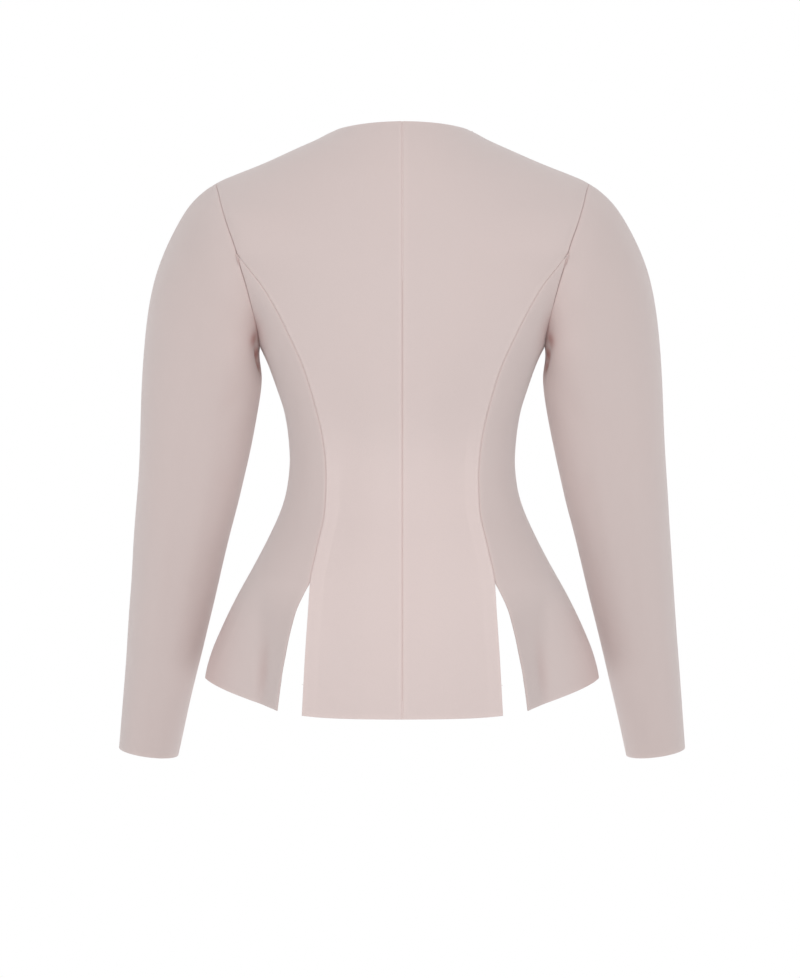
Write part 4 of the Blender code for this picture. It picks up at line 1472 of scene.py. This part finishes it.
@dataclass
class Wiring:
    """A node tree while it is being wired, with the steps that several trees share."""

    tree: bpy.types.NodeTree

    def feed(self, node: bpy.types.Node, fed: Fed) -> None:
        """Fills a node's inputs.

        Args:
            node: The node.
            fed: What each input takes: another node's output, or a plain value.
        """
        for place, value in fed.items():
            if isinstance(value, bpy.types.NodeSocket):
                self.tree.links.new(value, node.inputs[place])
            else:
                node.inputs[place].default_value = value

    def add(self, kind: str, fed: Fed | None = None, **settings: object) -> bpy.types.Node:
        """Adds one node.

        Args:
            kind: The node's type.
            fed: What its inputs take.
            settings: The node's own choices, which are set before its inputs.

        Returns:
            The node.
        """
        node = self.tree.nodes.new(kind)
        for name, value in settings.items():
            setattr(node, name, value)
        self.feed(node, fed or {})
        return node

    def math(self, operation: str, *values: object) -> bpy.types.NodeSocket:
        """A sum of outputs and plain numbers."""
        return self.add("ShaderNodeMath", dict(enumerate(values)), operation=operation).outputs["Value"]

    def noise(self, place: bpy.types.NodeSocket, scale: float, detail: float) -> bpy.types.NodeSocket:
        """A noise over the cloth."""
        fed = {"Vector": place, "Scale": scale, "Detail": detail}
        return self.add("ShaderNodeTexNoise", fed).outputs["Fac"]

    def ranged(self, value: bpy.types.NodeSocket, low: float, high: float) -> bpy.types.NodeSocket:
        """A value from 0 to 1 brought to a range of its own."""
        fed = {"Value": value, "To Min": low, "To Max": high}
        return self.add("ShaderNodeMapRange", fed).outputs["Result"]

    def mixed(self, share: bpy.types.NodeSocket, first: object, second: Colour) -> bpy.types.NodeSocket:
        """A colour, or an output that gives one, drawn towards another colour."""
        fed = {"Factor": share, "A": first, "B": second}
        return self.add("ShaderNodeMix", fed, data_type="RGBA").outputs["Result"]

    def kept(self, word: str) -> bpy.types.NodeSocket:
        """A value that the mesh keeps at its points."""
        return self.add("ShaderNodeAttribute", attribute_name=word).outputs["Fac"]


@dataclass(frozen=True)
class StitchKind:
    """The size of one kind of stitch, in metres but for its slant."""

    name: str
    spacing: float
    length: float
    width: float
    thickness: float
    slant: float
    seed: int = 7

    def sizes(self) -> dict[str, float]:
        """The sizes by the names of the node tree's inputs."""
        sizes = {"Spacing": self.spacing, "Length": self.length, "Width": self.width}
        return sizes | {"Thickness": self.thickness, "Slant": math.radians(self.slant)}


OVERLOCK = StitchKind("overlock_stitches", 0.0034, 0.0036, 0.0005, 0.0004, 74.0)
CATCH = StitchKind("hem_catch_stitches", 0.0075, 0.0052, 0.0004, 0.00035, 24.0)
BUTTONHOLE = StitchKind("buttonhole_stitches", 0.00055, 0.0021, 0.0005, 0.0006, 90.0)


@dataclass
class Stitches:
    """Thread laid along paths on the cloth, made with Geometry Nodes."""

    kind: StitchKind
    sides: int = 6
    rings: int = 4
    ball_radius: float = 0.5
    least_scale: float = 0.86

    def path_object(self, paths: list[Path]) -> bpy.types.Object:
        """The paths as lines of one object, with the cloth's facing kept at each point.

        Args:
            paths: The lines that the stitches follow.

        Returns:
            An object of lines alone.
        """
        points = np.concatenate([path.points for path in paths]) * MM
        facing = np.concatenate([path.facing for path in paths])
        lines, first = [], 0
        for path in paths:
            lines += [(i, i + 1) for i in range(first, first + len(path.points) - 1)]
            first += len(path.points)
        mesh = bpy.data.meshes.new(self.kind.name)
        mesh.from_pydata(points.tolist(), lines, [])
        keep(mesh, "facing", facing)
        return in_scene(self.kind.name, mesh)

    def tree(self, finish: bpy.types.Material) -> tuple[bpy.types.NodeTree, dict[str, str]]:
        """Builds the node tree that lays one stitch at every step of each path.

        Args:
            finish: The thread's material.

        Returns:
            The tree, and the identifier of each named input.
        """
        tree = bpy.data.node_groups.new(self.kind.name, "GeometryNodeTree")
        tree.interface.new_socket("Geometry", in_out="INPUT", socket_type="NodeSocketGeometry")
        tree.interface.new_socket("Geometry", in_out="OUTPUT", socket_type="NodeSocketGeometry")
        inputs = {}
        for word in self.kind.sizes():
            socket = tree.interface.new_socket(word, in_out="INPUT", socket_type="NodeSocketFloat")
            inputs[word] = socket.identifier
        wiring = Wiring(tree)
        given = wiring.add("NodeGroupInput")
        fed = {
            "Points": self.steps(wiring, given),
            "Instance": self.stitch(wiring, given),
            "Rotation": self.turned(wiring, given),
            "Scale": self.uneven(wiring),
        }
        laid = wiring.add("GeometryNodeInstanceOnPoints", fed).outputs["Instances"]
        real = wiring.add("GeometryNodeRealizeInstances", {"Geometry": laid}).outputs["Geometry"]
        dressed = wiring.add("GeometryNodeSetMaterial", {"Geometry": real, "Material": finish})
        wiring.add("NodeGroupOutput", {"Geometry": dressed.outputs["Geometry"]})
        return tree, inputs

    def steps(self, wiring: Wiring, given: bpy.types.Node) -> bpy.types.NodeSocket:
        """The points along the paths, one for each stitch."""
        curve = wiring.add("GeometryNodeMeshToCurve", {"Mesh": given.outputs["Geometry"]}).outputs["Curve"]
        fed = {"Curve": curve, "Length": given.outputs["Spacing"]}
        return wiring.add("GeometryNodeResampleCurve", fed, mode="LENGTH").outputs["Curve"]

    def stitch(self, wiring: Wiring, given: bpy.types.Node) -> bpy.types.NodeSocket:
        """One stitch: a small ball drawn out to the stitch's sizes.

        Args:
            wiring: The tree that it goes into.
            given: The tree's inputs.

        Returns:
            The stitch's mesh.
        """
        fed = {"Segments": self.sides, "Rings": self.rings, "Radius": self.ball_radius}
        ball = wiring.add("GeometryNodeMeshUVSphere", fed).outputs["Mesh"]
        fed = {axis: given.outputs[word] for axis, word in zip("XYZ", ("Length", "Width", "Thickness"))}
        size = wiring.add("ShaderNodeCombineXYZ", fed).outputs["Vector"]
        return wiring.add("GeometryNodeTransform", {"Geometry": ball, "Scale": size}).outputs["Geometry"]

    def turned(self, wiring: Wiring, given: bpy.types.Node) -> bpy.types.NodeSocket:
        """How each stitch lies: flat on the cloth, along its path and then turned by its slant.

        Args:
            wiring: The tree that it goes into.
            given: The tree's inputs.

        Returns:
            The rotation at each point.
        """
        named = wiring.add("GeometryNodeInputNamedAttribute", {"Name": "facing"}, data_type="FLOAT_VECTOR")
        fed = {"Vector": named.outputs["Attribute"]}
        upright = wiring.add("FunctionNodeAlignRotationToVector", fed, axis="Z").outputs["Rotation"]
        tangent = wiring.add("GeometryNodeInputTangent").outputs["Tangent"]
        fed = {"Rotation": upright, "Vector": tangent}
        along = wiring.add("FunctionNodeAlignRotationToVector", fed, axis="X", pivot_axis="Z")
        fed = {"Axis": (0, 0, 1), "Angle": given.outputs["Slant"]}
        slant = wiring.add("FunctionNodeAxisAngleToRotation", fed).outputs["Rotation"]
        fed = {"Rotation": along.outputs["Rotation"], "Rotate By": slant}
        return wiring.add("FunctionNodeRotateRotation", fed, rotation_space="LOCAL").outputs["Rotation"]

    def uneven(self, wiring: Wiring) -> bpy.types.NodeSocket:
        """The slightly different size of each stitch."""
        fed = {"Min": self.least_scale, "Max": 1.0, "Seed": self.kind.seed}
        return wiring.add("FunctionNodeRandomValue", fed, data_type="FLOAT").outputs["Value"]

    def make(self, paths: list[Path], finish: bpy.types.Material) -> bpy.types.Object:
        """Lays the stitches and leaves them as one plain mesh.

        Args:
            paths: The lines that the stitches follow.
            finish: The thread's material.

        Returns:
            The stitches' object.
        """
        made = self.path_object(paths)
        tree, inputs = self.tree(finish)
        modifier = made.modifiers.new("stitches", "NODES")
        modifier.node_group = tree
        for word, value in self.kind.sizes().items():
            modifier[inputs[word]] = value
        graph = bpy.context.evaluated_depsgraph_get()
        mesh = bpy.data.meshes.new_from_object(made.evaluated_get(graph), depsgraph=graph)
        made.modifiers.remove(modifier)
        made.data = mesh
        mesh.shade_smooth()
        return made


@dataclass
class Sewing:
    """The sewing that shows: buttonholes on the lap, and overlocked and caught edges inside."""

    buttonhole_start: float = -2.0
    buttonhole_length: float = 22.0
    buttonhole_width: float = 1.6
    end_samples: int = 8
    lift: float = 0.2
    allowance_column: int = 9
    allowance_start: int = 12
    turned_row: int = 12

    def buttonhole(self, buttons: Buttons, number: int) -> Path:
        """The oval that a buttonhole's stitches follow, on the lap over the wearer's right front.

        Args:
            buttons: The buttons that the holes are for.
            number: The button's number from the top, from 0.

        Returns:
            The closed line of the oval.
        """
        height = buttons.heights[number]
        half = self.buttonhole_width / 2
        turn = np.linspace(-math.pi / 2, math.pi / 2, self.end_samples)
        near, far = self.buttonhole_start, self.buttonhole_start + self.buttonhole_length
        run = np.linspace(near, far, 2 * self.end_samples)
        out = np.concatenate([run, far + half * np.cos(turn), run[::-1], near - half * np.cos(turn)])
        level = np.full(len(run), half)
        up = np.concatenate([-level, half * np.sin(turn), level, -half * np.sin(turn)])
        places = np.append(np.arange(len(out)), 0)
        seat, facing = buttons.seat(height)
        section = FRONT.centre_section(np.array([height]))
        dense = bezier(section, np.linspace(0, 1, CURVE_SAMPLES))
        depth = np.interp(out, dense[:, 0], dense[:, 1])
        rise = np.array([0.0, -facing[2], facing[1]])
        points = np.stack([-out, -depth, np.full(len(out), height)], 1) - up[:, None] * rise
        points += facing * self.lift
        return Path(points[places], np.tile(facing, (len(places), 1)))

    def overlocked(self, panels: list[Panel]) -> list[Path]:
        """The raw edges of the seam allowances inside the panels.

        Args:
            panels: All the panels.

        Returns:
            One line for each raw edge.
        """
        paths = []
        for panel in panels:
            first, last = self.allowance_start, -len(HEM_STEPS)
            if not panel.node.startswith("front"):
                paths.append(panel.inside_column(self.allowance_column, first, last))
            paths.append(panel.inside_column(-1 - self.allowance_column, first, last))
            if panel.node.startswith("sleeve"):
                paths.append(panel.inside_row(self.allowance_column))
        return paths

    def caught(self, panels: list[Panel]) -> list[Path]:
        """The top edges of the turned hems and cuffs."""
        return [panel.inside_row(-1 - self.turned_row) for panel in panels]


@dataclass(frozen=True)
class CrepeFinish:
    """The jacket's pale rose crepe: a matte, finely pebbled cloth with a slight bloom."""

    name: str
    rosy: Colour
    greyer: Colour
    highlight_paint: Colour
    shade_paint: Colour
    drift_scale: float = 7.0
    drift_detail: float = 3.0
    pebble_scale: float = 1150.0
    pebble_detail: float = 2.0
    thread: float = 0.00055
    pebble_height: float = 0.00009
    weave_height: float = 0.00004
    fleck: float = 0.035
    roughness: tuple[float, float] = (0.8, 0.92)
    sheen: float = 0.5
    sheen_roughness: float = 0.5
    specular: float = 0.28
    highlight_paint_share: float = 0.55
    shade_paint_share: float = 0.9

    def make(self) -> bpy.types.Material:
        """Builds the crepe's material.

        Returns:
            The material, which reads the painted light factor, the painted highlight and the painted shade
            that each mesh keeps.
        """
        material = bpy.data.materials.new(self.name)
        material.use_nodes = True
        wiring = Wiring(material.node_tree)
        place = wiring.add("ShaderNodeTexCoord").outputs["Object"]
        pebble = wiring.noise(place, self.pebble_scale, self.pebble_detail)
        look = {
            "Base Color": self.colour(wiring, place, pebble),
            "Roughness": wiring.ranged(pebble, *self.roughness),
            "Sheen Weight": self.sheen,
            "Sheen Roughness": self.sheen_roughness,
            "Specular IOR Level": self.specular,
            "Normal": self.grain(wiring, pebble),
        }
        wiring.feed(material.node_tree.nodes[SHADER], look)
        return material

    def colour(
        self, wiring: Wiring, place: bpy.types.NodeSocket, pebble: bpy.types.NodeSocket
    ) -> bpy.types.NodeSocket:
        """The crepe's colour, which drifts a little, is painted lighter beside seams and edges and darker and
        redder where shade falls, and is scaled by the painted light factor.

        Args:
            wiring: The material's tree.
            place: The point on the jacket.
            pebble: The grain's noise, which flecks the colour.

        Returns:
            The colour.
        """
        drifting = wiring.noise(place, self.drift_scale, self.drift_detail)
        colour = wiring.mixed(drifting, self.rosy, self.greyer)
        turns = (("highlight_paint", self.highlight_paint, self.highlight_paint_share), ("shade_paint", self.shade_paint, self.shade_paint_share))
        for word, goal, share in turns:
            colour = wiring.mixed(wiring.ranged(wiring.kept(word), 0.0, share), colour, goal)
        # The colour's value is scaled by the fleck and by the painted light factor
        flecks = wiring.ranged(pebble, 1 - self.fleck, 1 + self.fleck)
        fed = {"Value": wiring.math("MULTIPLY", flecks, wiring.kept("tone")), "Color": colour}
        return wiring.add("ShaderNodeHueSaturation", fed).outputs["Color"]

    def grain(self, wiring: Wiring, pebble: bpy.types.NodeSocket) -> bpy.types.NodeSocket:
        """The crepe's fine relief.

        Args:
            wiring: The material's tree.
            pebble: The grain's noise.

        Returns:
            The direction that the surface faces, with the pebble and the weave.
        """
        fed = {"Distance": self.pebble_height, "Height": pebble}
        pebbled = wiring.add("ShaderNodeBump", fed).outputs["Normal"]
        fed = {"Distance": self.weave_height, "Height": self.weave(wiring), "Normal": pebbled}
        return wiring.add("ShaderNodeBump", fed).outputs["Normal"]

    def weave(self, wiring: Wiring) -> bpy.types.NodeSocket:
        """The warp and weft, from the panel's own flat map.

        Args:
            wiring: The material's tree.

        Returns:
            A height from -1 to 1, which is a checker of threads.
        """
        flat = wiring.add("ShaderNodeUVMap", uv_map="weave").outputs["UV"]
        parts = wiring.add("ShaderNodeSeparateXYZ", {"Vector": flat}).outputs
        turns = 2 * math.pi / self.thread
        warp, weft = (wiring.math("SINE", wiring.math("MULTIPLY", parts[axis], turns)) for axis in "XY")
        return wiring.math("MULTIPLY", warp, weft)


@dataclass(frozen=True)
class ThreadFinish:
    """Sewing thread a little deeper than the cloth."""

    name: str = "sewing_thread"
    light: Colour = (0.60, 0.47, 0.45, 1)
    dark: Colour = (0.52, 0.40, 0.38, 1)
    twist_scale: float = 1800.0
    twist_detail: float = 1.0
    roughness: tuple[float, float] = (0.45, 0.65)
    sheen: float = 0.1

    def make(self) -> bpy.types.Material:
        """Builds the thread's material.

        Returns:
            The material, with the fine twist of the thread.
        """
        material = bpy.data.materials.new(self.name)
        material.use_nodes = True
        wiring = Wiring(material.node_tree)
        place = wiring.add("ShaderNodeTexCoord").outputs["Object"]
        twist = wiring.noise(place, self.twist_scale, self.twist_detail)
        look = {
            "Base Color": wiring.mixed(twist, self.dark, self.light),
            "Roughness": wiring.ranged(twist, *self.roughness),
            "Sheen Weight": self.sheen,
        }
        wiring.feed(material.node_tree.nodes[SHADER], look)
        return material


ROSY, GREYER = (0.665, 0.552, 0.53, 1), (0.645, 0.548, 0.53, 1)
# Painted highlight beside seams and edges, and painted shade, deep red, in folds, seams and under the arm
HIGHLIGHT_PAINT, SHADE_PAINT = (0.715, 0.595, 0.572, 1), (0.40, 0.135, 0.11, 1)
CREPE = CrepeFinish("blush_crepe", ROSY, GREYER, HIGHLIGHT_PAINT, SHADE_PAINT)
BUTTON_CREPE = CrepeFinish("button_crepe", ROSY, GREYER, HIGHLIGHT_PAINT, SHADE_PAINT, drift_scale=30.0)


@dataclass(frozen=True)
class Studio:
    """The white studio: a soft light from before and behind, a pale floor and the camera."""

    side_light: float = 0.8
    front_light: float = 0.56
    low_light: float = 0.14
    floor_height: float = -1.45
    floor_radius: float = 1.7
    floor_sides: int = 96
    floor_fade: float = 0.4
    floor_colour: Colour = (0.93, 0.93, 0.93, 1)
    floor_roughness: float = 0.8
    camera_place: tuple[float, float, float] = (0.0024, 3.0, -0.376)
    lens: float = 105.2
    sensor: float = 36.0

    def world(self) -> None:
        """Lights the scene from a wide soft sky that is brightest along Y, and shows white behind."""
        world = bpy.data.worlds.new("studio")
        bpy.context.scene.world = world
        world.use_nodes = True
        world.node_tree.nodes.clear()
        wiring = Wiring(world.node_tree)
        place = wiring.add("ShaderNodeTexCoord").outputs["Generated"]
        parts = wiring.add("ShaderNodeSeparateXYZ", {"Vector": place}).outputs
        level = wiring.math("MULTIPLY_ADD", parts["Z"], -self.low_light, self.side_light)
        squared = wiring.math("MULTIPLY", parts["Y"], parts["Y"])
        strength = wiring.math("MULTIPLY_ADD", squared, self.front_light, level)
        fed = {"Color": WHITE, "Strength": strength}
        soft = wiring.add("ShaderNodeBackground", fed).outputs["Background"]
        plain = wiring.add("ShaderNodeBackground", {"Color": WHITE}).outputs["Background"]
        is_seen = wiring.add("ShaderNodeLightPath").outputs["Is Camera Ray"]
        chosen = wiring.add("ShaderNodeMixShader", {"Fac": is_seen, 1: soft, 2: plain}).outputs["Shader"]
        wiring.add("ShaderNodeOutputWorld", {"Surface": chosen})

    def floor(self) -> bpy.types.Object:
        """A pale round floor well below the jacket.

        Returns:
            The floor, which fades out at its rim.
        """
        angles = np.arange(self.floor_sides) * 2 * math.pi / self.floor_sides
        out, back = np.cos(angles) * self.floor_radius, np.sin(angles) * self.floor_radius
        rim = np.stack([out, back, np.full(self.floor_sides, self.floor_height)], 1)
        mesh = bpy.data.meshes.new("floor")
        mesh.from_pydata(rim.tolist(), [], [list(range(self.floor_sides))])
        mesh.materials.append(self.floor_finish())
        return in_scene("floor", mesh)

    def floor_finish(self) -> bpy.types.Material:
        """Pale paint that turns clear towards the floor's rim.

        Returns:
            The paint's material.
        """
        material = bpy.data.materials.new("floor")
        material.use_nodes = True
        wiring = Wiring(material.node_tree)
        place = wiring.add("ShaderNodeTexCoord").outputs["Object"]
        fed = {0: place, 1: (1, 1, 0)}
        level = wiring.add("ShaderNodeVectorMath", fed, operation="MULTIPLY").outputs["Vector"]
        away = wiring.add("ShaderNodeVectorMath", {0: level}, operation="LENGTH").outputs["Value"]
        ends = {"From Min": self.floor_radius * self.floor_fade, "From Max": self.floor_radius}
        fed = {"Value": away, **ends, "To Min": 1.0, "To Max": 0.0}
        clear = wiring.add("ShaderNodeMapRange", fed, interpolation_type="SMOOTHSTEP").outputs["Result"]
        look = {"Base Color": self.floor_colour, "Roughness": self.floor_roughness, "Alpha": clear}
        wiring.feed(material.node_tree.nodes[SHADER], look)
        return material

    def camera(self) -> None:
        """The camera level behind the jacket, as the photograph was taken."""
        data = bpy.data.cameras.new("camera")
        data.lens, data.sensor_width = self.lens, self.sensor
        camera = in_scene("camera", data)
        camera.location = self.camera_place
        camera.rotation_euler = (math.pi / 2, 0, math.pi)
        bpy.context.scene.camera = camera

    def make(self) -> None:
        """Sets up the light, the floor and the camera."""
        bpy.context.scene.view_settings.view_transform = "Standard"
        self.world()
        self.camera()
        self.floor()


def dress(panel: Panel, finish: bpy.types.Material, log: logging.Logger) -> None:
    """Args:
        panel: The panel.
        finish: The cloth's material.
        log: Where the piece is reported.
    """
    made = panel.build(finish)
    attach(made, BODY)
    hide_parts(panel.node)
    faces = len(made.data.polygons)
    log.info("%s: %d faces, %.3f x %.3f m, %.4f m2", made.name, faces, *panel.flat(), panel.area())


def sew(kind: StitchKind, paths: list[Path], finish: bpy.types.Material, log: logging.Logger) -> None:
    """Lays one kind of stitch along its paths and lets it ride with the jacket.

    Args:
        kind: The stitch.
        paths: The lines that it follows.
        finish: The thread's material.
        log: Where the piece is reported.
    """
    made = Stitches(kind).make(paths, finish)
    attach(made, BODY)
    log.info("%s: %d faces", made.name, len(made.data.polygons))


def main() -> None:
    """Builds the studio, the panels, the buttons and the sewing, in that order."""
    logging.basicConfig(level=logging.INFO, format="%(message)s")
    log = logging.getLogger("jacket")
    log.info("%d solids to dress", len(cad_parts))
    Studio().make()
    crepe, button_crepe, thread = CREPE.make(), BUTTON_CREPE.make(), ThreadFinish().make()
    panels = Body().make()
    sleeve = Sleeve()
    panels += [sleeve.make(side) for side in Side]
    for panel in panels:
        dress(panel, crepe, log)
    buttons = Buttons()
    for number in range(len(buttons.heights)):
        made = buttons.make(number, button_crepe)
        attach(made, BODY)
        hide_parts(f"button_{number + 1}")
        log.info("%s: %d faces", made.name, len(made.data.polygons))
    sewing = Sewing()
    sew(OVERLOCK, sewing.overlocked(panels), thread, log)
    sew(CATCH, sewing.caught(panels), thread, log)
    holes = [sewing.buttonhole(buttons, number) for number in range(len(buttons.heights))]
    sew(BUTTONHOLE, holes, thread, log)


if __name__ == "__main__":
    main()
